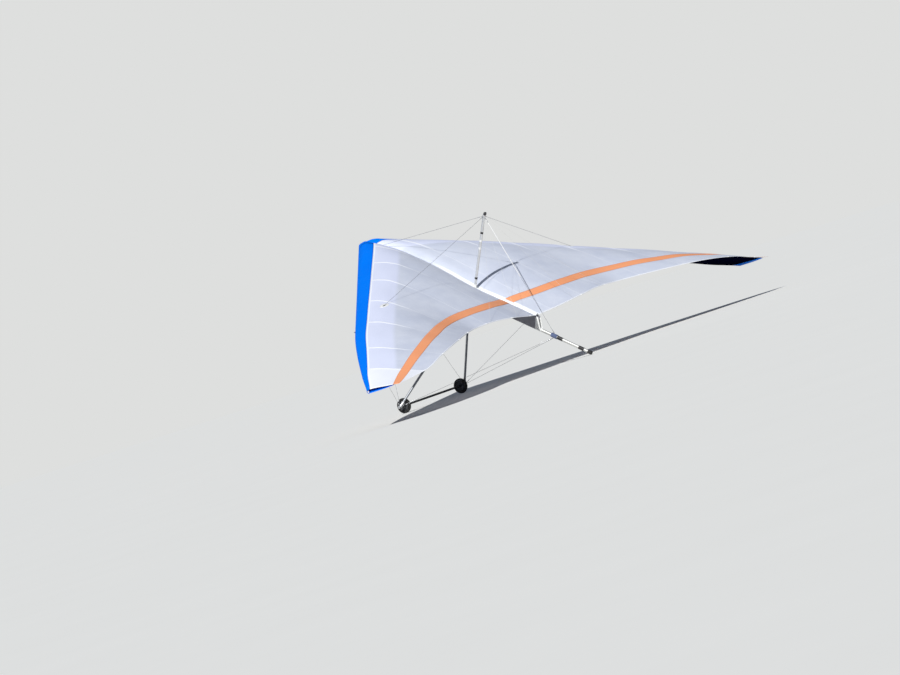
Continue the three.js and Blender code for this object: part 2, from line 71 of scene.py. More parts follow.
def bar_in_frame(node):
    """The two ends of a round bar's axis, in the parked frame, and its radius."""
    points = np.array([v.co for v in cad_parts[node].data.vertices], float)
    points = np.unique(points.round(6), axis=0)
    middle = points.mean(0)
    sides = np.linalg.svd(points - middle)[2]
    places = (points - middle) @ sides.T
    low, high = places.min(0), places.max(0)
    centre = middle + sides[1] * (low[1] + high[1]) / 2 + sides[2] * (low[2] + high[2]) / 2
    radius = np.linalg.norm(np.cross(points - centre, sides[0]), axis=1).max()
    ends = [centre + sides[0] * low[0], centre + sides[0] * high[0]]
    return sorted(ends, key=lambda p: p[1]), radius


(keel_front, keel_rear), keel_radius = bar_in_frame("keel_tube")
ACROSS = np.array([1.0, 0, 0])
AFT = unit((keel_rear - keel_front) * [0, 1, 1])
UP = np.cross(ACROSS, AFT)
NOSE = keel_front - 0.024 * AFT      # the keel tube starts 24 mm behind the nose point
print("pitch:", round(math.degrees(math.asin(-AFT[2])), 3), "degrees; keel radius:", round(keel_radius, 4))


# %% Turn level places into parked ones, and back
def parked(points):
    p = np.asarray(points, float)
    return NOSE + p[..., :1] * ACROSS + p[..., 1:2] * AFT + p[..., 2:] * UP


def level(points):
    p = np.asarray(points, float) - NOSE
    return np.stack([p @ ACROSS, p @ AFT, p @ UP], axis=-1)


def bar(node, near=None):
    """A CAD bar's ends in level metres, the one nearer to `near` first, and its radius."""
    (a, b), radius = bar_in_frame(node)
    a, b = level(a), level(b)
    if near is not None and np.linalg.norm(b - near) < np.linalg.norm(a - near):
        a, b = b, a
    return a, b, radius


print("kingpost:", bar("kingpost")[0].round(3), "to", bar("kingpost")[1].round(3))

# %% [markdown]
# ## The camera
#
# The picture was taken with a long lens, from high up on the glider's left and from behind. A long lens far
# away keeps the lines nearly parallel, so the wing isn't stretched. The camera's place and its three angles
# are given in the level directions, because they were found from the wing tips, the nose and the keel's end.

# %% Set the camera
CAMERA_SPOT = np.array([68.1459, 34.6465, 26.0240])
CAMERA_AZIMUTH, CAMERA_ELEVATION, CAMERA_ROLL = 1.1190210, 0.3383691, 0.2755537
CAMERA_LENS = 246.22

back = np.array([math.sin(CAMERA_AZIMUTH) * math.cos(CAMERA_ELEVATION),
                 math.cos(CAMERA_AZIMUTH) * math.cos(CAMERA_ELEVATION), math.sin(CAMERA_ELEVATION)])
right = unit(np.cross(-back, [0, 0, 1]))
down = np.cross(-back, right)
turned_right = math.cos(CAMERA_ROLL) * right - math.sin(CAMERA_ROLL) * down
turned_down = math.sin(CAMERA_ROLL) * right + math.cos(CAMERA_ROLL) * down

camera = bpy.data.objects.new("camera", bpy.data.cameras.new("camera"))
scene.collection.objects.link(camera)
camera.data.lens = CAMERA_LENS
camera.data.sensor_width = 36
camera.data.clip_start, camera.data.clip_end = 1, 1000
place = np.eye(4)
for column_number, direction in enumerate([turned_right, -turned_down, back]):
    place[:3, column_number] = parked(direction) - NOSE
place[:3, 3] = parked(CAMERA_SPOT)
camera.matrix_world = Matrix(place.tolist())
scene.camera = camera
print("camera at", place[:3, 3].round(2))

# %% [markdown]
# ## Small tools for shapes
#
# Each piece below is a form: its points, its faces, a flat map of each face in metres (the UV map), and the
# number of the finish that each face gets. Maps in metres mean that a weave or a brushed line has its true
# size on every piece. Four tools make nearly all pieces: a skin over a grid of points, a tube along a path,
# a turned piece, and a slab with rounded edges.

# %% A skin over a grid of points
def skin(grid, uv, finish=0, flip=False, keep=None):
    rows, columns = grid.shape[:2]
    faces, maps, marks = [], [], []
    for i in range(rows - 1):
        for j in range(columns - 1):
            if keep is not None and not keep[i, j]:
                continue
            corners = [(i, j), (i + 1, j), (i + 1, j + 1), (i, j + 1)]
            if flip:
                corners.reverse()
            faces.append([r * columns + c for r, c in corners])
            maps.append([uv[corner] for corner in corners])
            marks.append(finish if np.isscalar(finish) else int(finish[i, j]))
    return grid.reshape(-1, 3), faces, maps, marks


# %% Rings of points, joined into a tube or a turned piece
def cross_directions(way):
    side = unit(np.cross(way, [0.31, 0.05, 1.0] if abs(way[2]) < 0.9 else [1.0, 0.1, 0.3]))
    return side, np.cross(way, side)


def join_rings(rings, along, around, closed, finish=0):
    """Rings (n, sides, 3) with their distance along and their length round, joined and capped."""
    n, sides = rings.shape[:2]
    faces, maps = [], []
    for i in range(n if closed else n - 1):
        k = (i + 1) % n
        far = along[k] if k else along[-1] + np.linalg.norm(rings[-1, 0] - rings[0, 0])
        for j in range(sides):
            m = (j + 1) % sides
            faces.append([i * sides + j, i * sides + m, k * sides + m, k * sides + j])
            u0, u1 = j / sides, (j + 1) / sides
            maps.append([(along[i], around[i] * u0), (along[i], around[i] * u1),
                         (far, around[k] * u1), (far, around[k] * u0)])
    if not closed:
        for ring, order in ((0, range(sides - 1, -1, -1)), (n - 1, range(sides))):
            size = around[ring] / (2 * math.pi)
            faces.append([ring * sides + j for j in order])
            maps.append([(size * math.cos(2 * math.pi * j / sides), size * math.sin(2 * math.pi * j / sides))
                         for j in order])
    return rings.reshape(-1, 3), faces, maps, [finish] * len(faces)


def tube(path, radius, sides=24, finish=0):
    path = np.asarray(path, float)
    radius = np.broadcast_to(np.asarray(radius, float), len(path))
    steps = np.linalg.norm(np.diff(path, axis=0), axis=1)
    along = np.concatenate([[0], np.cumsum(steps)])
    ways = np.gradient(path, axis=0)
    side = cross_directions(unit(ways[0]))[0]
    turn = np.arange(sides) * 2 * math.pi / sides
    rings = []
    for spot, way, r in zip(path, ways, radius):
        way = unit(way)
        side = unit(side - way * (side @ way))
        other = np.cross(way, side)
        rings.append(spot + r * (np.cos(turn)[:, None] * side + np.sin(turn)[:, None] * other))
    return join_rings(np.array(rings), along, 2 * math.pi * radius, False, finish)


def turned(outline, base, axis, sides=32, closed=False, finish=0):
    """An outline of (distance along the axis, radius), turned about the axis. The outside runs forwards."""
    outline = np.asarray(outline, float)
    axis = unit(axis)
    side, other = cross_directions(axis)
    turn = np.arange(sides) * 2 * math.pi / sides
    round_about = np.cos(turn)[:, None] * side + np.sin(turn)[:, None] * other
    rings = np.array([base + t * axis + r * round_about for t, r in outline])
    steps = np.linalg.norm(np.diff(outline, axis=0), axis=1)
    along = np.concatenate([[0], np.cumsum(steps)])
    return join_rings(rings, along, 2 * math.pi * outline[:, 1], closed, finish)


# %% A slab with rounded edges, from a flat outline
def slab(outline, thick, centre, across, upward, edge=0.0012, finish=0, holes=()):
    """A plate in the plane of `across` and `upward`, standing `thick` tall from `centre`."""
    across, upward = unit(across), unit(upward)
    shape = bmesh.new()
    loop = [shape.verts.new((u, v, 0)) for u, v in outline]
    rims = [shape.edges.new((loop[k], loop[(k + 1) % len(loop)])) for k in range(len(loop))]
    for u, v, r in holes:
        ring = [shape.verts.new((u + r * math.cos(a), v + r * math.sin(a), 0))
                for a in np.arange(12) * math.pi / 6]
        rims += [shape.edges.new((ring[k], ring[(k + 1) % 12])) for k in range(12)]
    if holes:
        bmesh.ops.triangle_fill(shape, edges=rims, use_beauty=True)
    else:
        shape.faces.new(loop)
    bmesh.ops.recalc_face_normals(shape, faces=shape.faces[:])
    base = shape.faces[:]
    if sum(f.normal.z * f.calc_area() for f in base) > 0:
        bmesh.ops.reverse_faces(shape, faces=base)
    top = bmesh.ops.extrude_face_region(shape, geom=base, use_keep_orig=True)["geom"]
    raised = [v for v in top if isinstance(v, bmesh.types.BMVert)]
    for vertex in raised:
        vertex.co.z += thick
    bmesh.ops.recalc_face_normals(shape, faces=shape.faces[:])
    if edge:
        sharp = [e for e in shape.edges if len(e.link_faces) == 2 and e.calc_face_angle(0) > 0.7]
        bmesh.ops.bevel(shape, geom=sharp, offset=edge, segments=2, profile=0.5, affect="EDGES")
    shape.verts.index_update()
    local = np.array([v.co for v in shape.verts])
    faces = [[v.index for v in f.verts] for f in shape.faces]
    maps = [[(local[k][0] + local[k][2], local[k][1] + local[k][2]) for k in face] for face in faces]
    shape.free()
    out = np.cross(across, upward)
    points = np.asarray(centre) + local[:, :1] * across + local[:, 1:2] * upward + local[:, 2:] * out
    return points, faces, maps, [finish] * len(faces)


def block(size, centre, across, upward, edge=0.0015, finish=0):
    w, h, thick = size
    corners = [(-w / 2, -h / 2), (w / 2, -h / 2), (w / 2, h / 2), (-w / 2, h / 2)]
    out = np.cross(unit(across), unit(upward))
    return slab(corners, thick, np.asarray(centre) - out * thick / 2, across, upward, edge, finish)


def rounded(w, h, r, steps=5):
    """A rectangle w by h with round corners."""
    outline = []
    for cx, cy, start in ((w / 2 - r, h / 2 - r, 0), (r - w / 2, h / 2 - r, 90), (r - w / 2, r - h / 2, 180),
                          (w / 2 - r, r - h / 2, 270)):
        for k in range(steps + 1):
            a = math.radians(start + 90 * k / steps)
            outline.append((cx + r * math.cos(a), cy + r * math.sin(a)))
    return outline


# %% [markdown]
# A bolt with its washer is on nearly every fitting. Its head is a turned piece with six sides, lowered at
# the rim as a real forged head is.

# %% A bolt head on a washer
def bolt(spot, axis, size=0.006, finish=0):
    axis = unit(axis)
    washer = turned([(0, size * 0.4), (0, size * 1.15), (size * 0.22, size * 1.15), (size * 0.22, size * 0.4)],
                    spot, axis, 20, True, finish)
    head = turned([(size * 0.2, size * 0.9), (size * 0.72, size * 0.9), (size * 0.85, size * 0.74)],
                  spot, axis, 6, False, finish)
    return together(washer, head)


def together(*forms):
    points, faces, maps, marks, start = [], [], [], [], 0
    for p, f, m, k in forms:
        points.append(p)
        faces += [[v + start for v in face] for face in f]
        maps += m
        marks += k
        start += len(p)
    return np.concatenate(points), faces, maps, marks


def mirrored(form):
    """The same form on the other side of the keel."""
    p, f, m, k = form
    return p * [-1, 1, 1], [face[::-1] for face in f], [uv[::-1] for uv in m], k


# %% [markdown]
# A form becomes a Blender object here. Its sharp edges stay sharp and the rest is shaded smooth. It rides on
# a body of the CAD model, takes its finish, and may stand for CAD nodes.

# %% Make a piece from a form
made = {"pieces": 0, "triangles": 0}


def make_piece(name, form, finish, stands_for=(), body="glider", sharp=35):
    points, faces, maps, marks = form
    mesh = bpy.data.meshes.new(name)
    mesh.from_pydata(parked(points).tolist(), [], faces)
    flat = mesh.uv_layers.new(name="metres")
    flat.data.foreach_set("uv", np.array([c for face in maps for c in face], float)[:, :2].ravel())
    for one in finish if isinstance(finish, (list, tuple)) else [finish]:
        mesh.materials.append(one)
    mesh.polygons.foreach_set("material_index", marks)
    mesh.shade_smooth()
    mesh.set_sharp_from_angle(angle=math.radians(sharp))
    piece = bpy.data.objects.new(name, mesh)
    scene.collection.objects.link(piece)
    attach(piece, body)
    if stands_for:
        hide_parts(*([stands_for] if isinstance(stands_for, str) else stands_for))
    made["pieces"] += 1
    made["triangles"] += sum(len(face) - 2 for face in faces)
    return piece


# %% [markdown]
# ## Finishes
#
# A finish is a material made of nodes. Effects that several finishes share, such as weave, wear and
# brushing, are node groups with named inputs, so that one good recipe is tuned for each piece.

# %% Helpers for nodes
def colour(red, green, blue):
    """A colour as read from a photograph, 0 to 255, as the linear values that Blender mixes with."""
    lin = [v / 12.92 if v <= 0.04045 else ((v + 0.055) / 1.055) ** 2.4 for v in (red / 255, green / 255, blue / 255)]
    return (*lin, 1)


def put(tree, kind, links=None, **settings):
    node = tree.nodes.new("ShaderNode" + kind)
    for key, value in settings.items():
        setattr(node, key, value)
    for key, value in (links or {}).items():
        if isinstance(value, bpy.types.NodeSocket):
            tree.links.new(value, node.inputs[key])
        else:
            node.inputs[key].default_value = value
    return node


def calc(tree, operation, a, b=0.0, clamp=False):
    return put(tree, "Math", {0: a, 1: b}, operation=operation, use_clamp=clamp).outputs[0]


def blend_colours(tree, factor, first, second, how="MIX"):
    mix = put(tree, "Mix", {0: factor, 6: first, 7: second}, data_type="RGBA", blend_type=how)
    return mix.outputs[2]


def new_effect(name, inputs, outputs):
    """A node group. inputs: (name, kind, value); outputs: (name, kind)."""
    tree = bpy.data.node_groups.new(name, "ShaderNodeTree")
    for label, kind, value in inputs:
        socket = tree.interface.new_socket(label, in_out="INPUT", socket_type="NodeSocket" + kind)
        if value is not None:
            socket.default_value = value
    for label, kind in outputs:
        tree.interface.new_socket(label, in_out="OUTPUT", socket_type="NodeSocket" + kind)
    return tree, tree.nodes.new("NodeGroupInput").outputs, tree.nodes.new("NodeGroupOutput").inputs


def effect(tree, group, **links):
    node = tree.nodes.new("ShaderNodeGroup")
    node.node_tree = group
    for key, value in links.items():
        socket = node.inputs[key.replace("_", " ")]
        if isinstance(value, bpy.types.NodeSocket):
            tree.links.new(value, socket)
        else:
            socket.default_value = value
    return node.outputs


# %% [markdown]
# Sailcloth is a tight plain weave with a heavier thread every few millimetres, which stops a tear. Each
# thread goes over and under the next, so the height of the cloth is one of two rounded waves, chosen like
# the squares of a chessboard.

# %% Effect: woven cloth
weave, given, result = new_effect("Woven cloth", [("Place", "Vector", None), ("Thread", "Float", 0.0006),
                                                  ("Heavy thread every", "Float", 0.006)],
                                  [("Height", "Float"), ("Heavy", "Float")])
split = put(weave, "SeparateXYZ", {0: given["Place"]}).outputs
waves, heavy = [], []
for axis in (0, 1):
    turns = calc(weave, "DIVIDE", split[axis], given["Thread"])
    waves.append(calc(weave, "SINE", calc(weave, "MULTIPLY", turns, math.pi)))
    beat = calc(weave, "FRACT", calc(weave, "DIVIDE", split[axis], given["Heavy thread every"]))
    heavy.append(calc(weave, "GREATER_THAN", calc(weave, "ABSOLUTE", calc(weave, "SUBTRACT", beat, 0.5)), 0.42))
over = calc(weave, "GREATER_THAN", calc(weave, "MULTIPLY", waves[0], waves[1]), 0.0)
first = calc(weave, "MULTIPLY", calc(weave, "ABSOLUTE", waves[0]), over)
second = calc(weave, "MULTIPLY", calc(weave, "ABSOLUTE", waves[1]), calc(weave, "SUBTRACT", 1.0, over))
either = calc(weave, "MAXIMUM", heavy[0], heavy[1])
weave.links.new(calc(weave, "ADD", calc(weave, "ADD", first, second), calc(weave, "MULTIPLY", either, 0.6)),
                result["Height"])
weave.links.new(either, result["Heavy"])
print("effect:", weave.name)

# %% [markdown]
# Nothing that is used outdoors has one even colour. A soft noise between two limits is used for faded cloth,
# for dusty rubber and for the cloudy look of anodised metal.

# %% Effect: patches
patches, given, result = new_effect("Patches", [("Place", "Vector", None), ("Size", "Float", 0.3),
                                                ("Low", "Float", 0.0), ("High", "Float", 1.0)],
                                    [("Value", "Float")])
cloud = put(patches, "TexNoise", {"Vector": given["Place"], "Scale": calc(patches, "DIVIDE", 1.0, given["Size"]),
                                  "Detail": 4.0, "Roughness": 0.6})
spread = put(patches, "MapRange", {"Value": cloud.outputs["Fac"], "From Min": 0.35, "From Max": 0.65,
                                   "To Min": given["Low"], "To Max": given["High"]})
patches.links.new(spread.outputs[0], result["Value"])
print("effect:", patches.name)

# %% [markdown]
# Corners of metal and plastic are the first places to lose their finish. The Bevel node gives a rounded
# normal near an edge; where it differs from the true one there is an edge, and noise breaks the wear up.

# %% Effect: worn edges
worn, given, result = new_effect("Worn edges", [("Place", "Vector", None), ("Width", "Float", 0.002),
                                                ("Amount", "Float", 1.0)], [("Mask", "Float")])
rounded_normal = put(worn, "Bevel", {"Radius": given["Width"]}, samples=4).outputs[0]
true_normal = put(worn, "NewGeometry").outputs["Normal"]
same = put(worn, "VectorMath", {0: rounded_normal, 1: true_normal}, operation="DOT_PRODUCT").outputs["Value"]
edge_here = calc(worn, "MULTIPLY", calc(worn, "SUBTRACT", 1.0, same), 6.0, True)
chips = put(worn, "TexNoise", {"Vector": given["Place"], "Scale": 160.0, "Detail": 3.0}).outputs["Fac"]
broken = put(worn, "MapRange", {"Value": chips, "From Min": 0.4, "From Max": 0.62}).outputs[0]
worn.links.new(calc(worn, "MULTIPLY", calc(worn, "MULTIPLY", edge_here, broken), given["Amount"], True),
               result["Mask"])
print("effect:", worn.name)

# %% [markdown]
# Aluminium tube is drawn through a die, which leaves fine lines along it. A noise that is stretched a
# hundredfold along the tube gives those lines.

# %% Effect: drawn lines
drawn, given, result = new_effect("Drawn lines", [("Place", "Vector", None), ("Width", "Float", 0.0006)],
                                  [("Height", "Float")])
split = put(drawn, "SeparateXYZ", {0: given["Place"]}).outputs
long_way = calc(drawn, "DIVIDE", split[0], calc(drawn, "MULTIPLY", given["Width"], 120.0))
short_way = calc(drawn, "DIVIDE", split[1], given["Width"])
stretched = put(drawn, "CombineXYZ", {0: long_way, 1: short_way}).outputs[0]
drawn.links.new(put(drawn, "TexNoise", {"Vector": stretched, "Scale": 1.0, "Detail": 2.0}).outputs["Fac"],
                result["Height"])
print("effect:", drawn.name)

# %% [markdown]
# A wire stay is nineteen thin wires, laid up like a rope. Seen from the side, the strands are slanting
# lines: a wave that moves round the wire as it goes along.

# %% Effect: laid strands
strands, given, result = new_effect("Laid strands", [("Place", "Vector", None), ("Lay", "Float", 0.03),
                                                     ("Round", "Float", 0.0126), ("Count", "Float", 8.0)],
                                    [("Height", "Float")])
split = put(strands, "SeparateXYZ", {0: given["Place"]}).outputs
turns = calc(strands, "ADD", calc(strands, "DIVIDE", split[0], given["Lay"]),
             calc(strands, "DIVIDE", split[1], given["Round"]))
angle = calc(strands, "MULTIPLY", calc(strands, "MULTIPLY", turns, given["Count"]), 2 * math.pi)
strands.links.new(calc(strands, "ABSOLUTE", calc(strands, "SINE", calc(strands, "MULTIPLY", angle, 0.5))),
                  result["Height"])
print("effect:", strands.name)

# %% [markdown]
# Sails are sewn with rows of short stitches. Given the distance to a seam line and the way along it, this
# effect marks the thread: a dash, a gap, a dash.

# %% Effect: a row of stitches
stitches, given, result = new_effect("Row of stitches", [("Off the line", "Float", 0.0), ("Along", "Float", 0.0),
                                                         ("Stitch", "Float", 0.005), ("Thread", "Float", 0.0007)],
                                     [("Mask", "Float")])
near = calc(stitches, "LESS_THAN", calc(stitches, "ABSOLUTE", given["Off the line"]), given["Thread"])
dash = calc(stitches, "LESS_THAN", calc(stitches, "FRACT", calc(stitches, "DIVIDE", given["Along"],
                                                               given["Stitch"])), 0.68)
stitches.links.new(calc(stitches, "MULTIPLY", near, dash), result["Mask"])
print("effect:", stitches.name)


# %% Start a finish
def start_finish(name, roughness, metallic=0.0, **constants):
    finish = bpy.data.materials.new(name)
    finish.use_nodes = True
    shader = finish.node_tree.nodes["Principled BSDF"]
    shader.inputs["Roughness"].default_value = roughness
    shader.inputs["Metallic"].default_value = metallic
    for key, value in constants.items():
        shader.inputs[key.replace("_", " ")].default_value = value
    return finish, finish.node_tree, shader.inputs


def uv_place(tree, layer="metres"):
    return put(tree, "UVMap", uv_map=layer).outputs[0]


def object_place(tree):
    return put(tree, "TexCoord").outputs["Object"]


def raise_surface(tree, height, distance, strength=1.0):
    return put(tree, "Bump", {"Height": height, "Distance": distance, "Strength": strength}).outputs[0]


# %% [markdown]
# ### Sailcloth
#
# The sail is polyester with a hard resin finish. From afar it is a cool, slightly blue white; in the band behind
# the blue strip it is whiter. Towards the tip it is painted whiter too, a painted highlight. The batten pockets and
# the hems are a second layer, so less light comes through and they look brighter; near the front the pockets are
# painted whiter still, partly for that layer and partly as a painted highlight along their raised ridges, fading aft.
# Along the root, from the middle aft, the cloth is given a brighter white. All of that is placed by three maps of
# the sheet: "metres" is the cloth itself, "lines" gives the distance to the nearest batten and to the nearest seam,
# and "ways" gives the distance behind the blue strip and the distance left to the trailing edge.

# %% Finish: white sailcloth
def sailcloth(name, base, bright, roughness=0.6, band=None, pockets=0.0, sheen=0.1, specular=0.3):
    finish, tree, shader = start_finish(name, roughness, Specular_IOR_Level=specular, Sheen_Weight=sheen,
                                        Sheen_Roughness=0.4)
    spot = object_place(tree)
    place = uv_place(tree)
    here = put(tree, "SeparateXYZ", {0: place}).outputs
    lines = put(tree, "SeparateXYZ", {0: uv_place(tree, "lines")}).outputs
    ways = put(tree, "SeparateXYZ", {0: uv_place(tree, "ways")}).outputs
    cloud = effect(tree, patches, Place=spot, Size=0.5)["Value"]
    toned = blend_colours(tree, calc(tree, "MULTIPLY", cloud, 0.25), base, bright)
    doubled_and_highlight = 0.0
    if band:
        front = put(tree, "MapRange", {"Value": ways[0], "From Min": 0.34, "From Max": 0.42, "To Min": 0.85,
                                       "To Max": 0.0}, interpolation_type="SMOOTHSTEP").outputs[0]
        toned = blend_colours(tree, front, toned, band)
        across = here[0]
        # Towards the tip the cloth is painted whiter: a painted highlight.
        tip = put(tree, "MapRange", {"Value": across, "From Min": 4.39, "From Max": 4.41, "To Min": 0.0,
                                     "To Max": 0.75}).outputs[0]
        # From the middle aft the cloth along the root is given a brighter white.
        at_root = put(tree, "MapRange", {"Value": across, "From Min": 0.062, "From Max": 0.074, "To Min": 1.0,
                                         "To Max": 0.0}).outputs[0]
        past_middle = put(tree, "MapRange", {"Value": ways[0], "From Min": 0.85, "From Max": 1.1}).outputs[0]
        toned = blend_colours(tree, calc(tree, "MAXIMUM", tip, calc(tree, "MULTIPLY", at_root, past_middle)), toned,
                              bright)
    if pockets:
        # Pockets are painted whiter near the front, fading aft: partly their second layer, partly a painted highlight
        # on their ridges.
        pocket = calc(tree, "LESS_THAN", lines[0], 0.018)
        pocket_highlight_fade = put(tree, "MapRange", {"Value": ways[0], "From Min": 0.30, "From Max": 0.62, "To Min": pockets,
                                       "To Max": 0.15 * pockets}).outputs[0]
        reinforced = calc(tree, "LESS_THAN", ways[0], 0.026)
        hem = calc(tree, "MULTIPLY", calc(tree, "LESS_THAN", ways[1], 0.02), 0.8)
        doubled_and_highlight = calc(tree, "MAXIMUM", calc(tree, "MULTIPLY", pocket, pocket_highlight_fade), calc(tree, "MAXIMUM", reinforced, hem))
        toned = blend_colours(tree, doubled_and_highlight, toned, bright)
    seam = effect(tree, stitches, Off_the_line=calc(tree, "SUBTRACT", lines[1], 0.004), Along=here[0])["Mask"]
    pocket_seam = effect(tree, stitches, Off_the_line=calc(tree, "SUBTRACT", lines[0], 0.0155),
                         Along=here[1])["Mask"]
    sewn = calc(tree, "MAXIMUM", seam, calc(tree, "MULTIPLY", pocket_seam, 1.0 if pockets else 0.0))
    thread = (base[0] * 0.6, base[1] * 0.6, base[2] * 0.62, 1)
    tree.links.new(blend_colours(tree, calc(tree, "MULTIPLY", sewn, 0.5), toned, thread), shader["Base Color"])
    cloth = effect(tree, weave, Place=place, Thread=0.0008, Heavy_thread_every=0.007)["Height"]
    height = calc(tree, "ADD", cloth, calc(tree, "MULTIPLY", doubled_and_highlight, 1.5))
    tree.links.new(raise_surface(tree, height, 0.00012, 0.5), shader["Normal"])
    tree.links.new(effect(tree, patches, Place=spot, Size=0.2, Low=roughness - 0.06,
                          High=roughness + 0.08)["Value"], shader["Roughness"])
    return finish


white_cloth = sailcloth("white sailcloth", colour(203, 209, 224), colour(247, 249, 253), band=colour(224, 229, 250),
                        pockets=0.85)
orange_cloth = sailcloth("orange sailcloth", colour(247, 164, 116), colour(251, 176, 134), sheen=0.0, specular=0.1)
blue_cloth = sailcloth("blue sailcloth", colour(0, 119, 242), colour(0, 132, 250), 0.6, sheen=0.0, specular=0.03)
# The navy is darkened to near-black with painted shade from under the wing.
navy_painted_shade_cloth = sailcloth("navy sailcloth with painted shade", colour(3, 4, 26), colour(6, 7, 36), 0.7, sheen=0.0, specular=0.0)
# The keel pocket is white cloth; this grey is the sail's shade painted into it.
pocket_painted_shade_cloth = sailcloth("white pocket cloth painted grey with shade", colour(132, 131, 138), colour(150, 150, 156), 0.65)
print("finishes:", white_cloth.name, orange_cloth.name, blue_cloth.name, navy_painted_shade_cloth.name)


# %% [markdown]
# ### Metal
#
# The tubes are anodised: clear aluminium with a satin surface, fine drawn lines and slow changes of tone. The
# cut fittings are brighter and are rubbed bare along their edges.

# %% Finish: anodised tube and bright fittings
def metal(name, base, rubbed, roughness, line_width, wear=0.7, metallic=0.85):
    finish, tree, shader = start_finish(name, roughness, metallic)
    place = uv_place(tree)
    cloud = effect(tree, patches, Place=object_place(tree), Size=0.12)["Value"]
    dull = tuple(v * 0.86 for v in base[:3]) + (1,)
    toned = blend_colours(tree, cloud, base, dull)
    lines = effect(tree, drawn, Place=place, Width=line_width)["Height"]
    streaked = blend_colours(tree, calc(tree, "MULTIPLY", lines, 0.18), toned, rubbed)
    mask = effect(tree, worn, Place=object_place(tree), Amount=wear)["Mask"]
    tree.links.new(blend_colours(tree, mask, streaked, rubbed), shader["Base Color"])
    rough = put(tree, "MapRange", {"Value": lines, "From Min": 0.2, "From Max": 0.8, "To Min": roughness - 0.05,
                                   "To Max": roughness + 0.1}).outputs[0]
    tree.links.new(calc(tree, "SUBTRACT", rough, calc(tree, "MULTIPLY", mask, 0.1)), shader["Roughness"])
    tree.links.new(raise_surface(tree, lines, 0.00004, 0.6), shader["Normal"])
    return finish


tube_metal = metal("anodised tube", colour(218, 218, 212), colour(240, 240, 238), 0.4, 0.0007, metallic=0.55)
post_metal = metal("pale anodised tube", colour(228, 229, 228), colour(244, 244, 243), 0.4, 0.0007, metallic=0.6)
bright_metal = metal("bright fitting", colour(214, 216, 218), colour(244, 245, 246), 0.3, 0.0012, 1.0)
dull_metal = metal("satin grey tube", colour(150, 153, 158), colour(206, 208, 210), 0.42, 0.0007, metallic=0.6)
print("finishes:", tube_metal.name, bright_metal.name)


# %% [markdown]
# ### Wire
#
# A stay is stainless wire rope under a thin clear sleeve. The strands show as slanting lines.

# %% Finish: stays and cords
def rope_finish(name, light, dark, roughness, metallic, radius, lay):
    finish, tree, shader = start_finish(name, roughness, metallic)
    height = effect(tree, strands, Place=uv_place(tree), Lay=lay, Round=2 * math.pi * radius)["Height"]
    cloud = effect(tree, patches, Place=object_place(tree), Size=0.2, Low=0.0, High=0.4)["Value"]
    lit = blend_colours(tree, height, dark, light)
    tree.links.new(blend_colours(tree, cloud, lit, dark), shader["Base Color"])
    tree.links.new(raise_surface(tree, height, 0.0003), shader["Normal"])
    return finish


stay_wire = rope_finish("stay wire", colour(190, 193, 197), colour(84, 86, 90), 0.35, 0.8, 0.002, 0.03)
white_cord = rope_finish("white cord", colour(236, 236, 232), colour(190, 190, 188), 0.7, 0.0, 0.0012, 0.012)
print("finishes:", stay_wire.name, white_cord.name)


# %% [markdown]
# ### Plastic, rubber and webbing
#
# Black moulded parts have a fine grain and go grey at their edges. Rubber is rougher and dusty. Webbing is a
# coarse weave with ribs along its length.

# %% Finish: moulded plastic and rubber
def moulded(name, base, scuffed, roughness, grain=0.0009, bump=0.00008, dust=0.25, **constants):
    finish, tree, shader = start_finish(name, roughness, **constants)
    spot = object_place(tree)
    cloud = effect(tree, patches, Place=spot, Size=0.06, Low=0.0, High=dust)["Value"]
    mask = effect(tree, worn, Place=spot, Width=0.0025, Amount=0.8)["Mask"]
    dusty = blend_colours(tree, cloud, base, scuffed)
    tree.links.new(blend_colours(tree, mask, dusty, scuffed), shader["Base Color"])
    pits = put(tree, "TexNoise", {"Vector": spot, "Scale": 1 / grain, "Detail": 2.0}).outputs["Fac"]
    tree.links.new(raise_surface(tree, pits, bump, 0.8), shader["Normal"])
    tree.links.new(effect(tree, patches, Place=spot, Size=0.03, Low=roughness - 0.08,
                          High=roughness + 0.08)["Value"], shader["Roughness"])
    return finish


black_moulded = moulded("black moulded plastic", colour(26, 25, 26), colour(92, 92, 94), 0.5)
black_rubber = moulded("black rubber", colour(24, 24, 26), colour(98, 95, 90), 0.8, 0.0014, 0.00015)
tyre_rubber = moulded("tyre rubber", colour(19, 19, 21), colour(92, 89, 84), 0.82, 0.0012, 0.0002, 0.12)
grey_hub = moulded("grey moulded hub", colour(50, 52, 57), colour(112, 115, 120), 0.55)
white_moulded = moulded("white moulded plastic", colour(232, 232, 230), colour(250, 250, 249), 0.45)
print("finishes:", black_moulded.name, tyre_rubber.name, grey_hub.name)


# %% Finish: webbing
def webbing_finish(name, base, dark, rib=0.0016):
    finish, tree, shader = start_finish(name, 0.75, Sheen_Weight=0.3, Sheen_Roughness=0.5)
    place = uv_place(tree)
    split = put(tree, "SeparateXYZ", {0: place}).outputs
    ribs = calc(tree, "ABSOLUTE", calc(tree, "SINE", calc(tree, "MULTIPLY", split[1], math.pi / rib)))
    threads = effect(tree, weave, Place=place, Thread=0.0011, Heavy_thread_every=1.0)["Height"]
    height = calc(tree, "ADD", ribs, calc(tree, "MULTIPLY", threads, 0.5))
    cloud = effect(tree, patches, Place=object_place(tree), Size=0.05, Low=0.0, High=0.35)["Value"]
    shaded = blend_colours(tree, calc(tree, "MULTIPLY", height, 0.66), dark, base)
    tree.links.new(blend_colours(tree, cloud, shaded, dark), shader["Base Color"])
    tree.links.new(raise_surface(tree, height, 0.0004), shader["Normal"])
    return finish


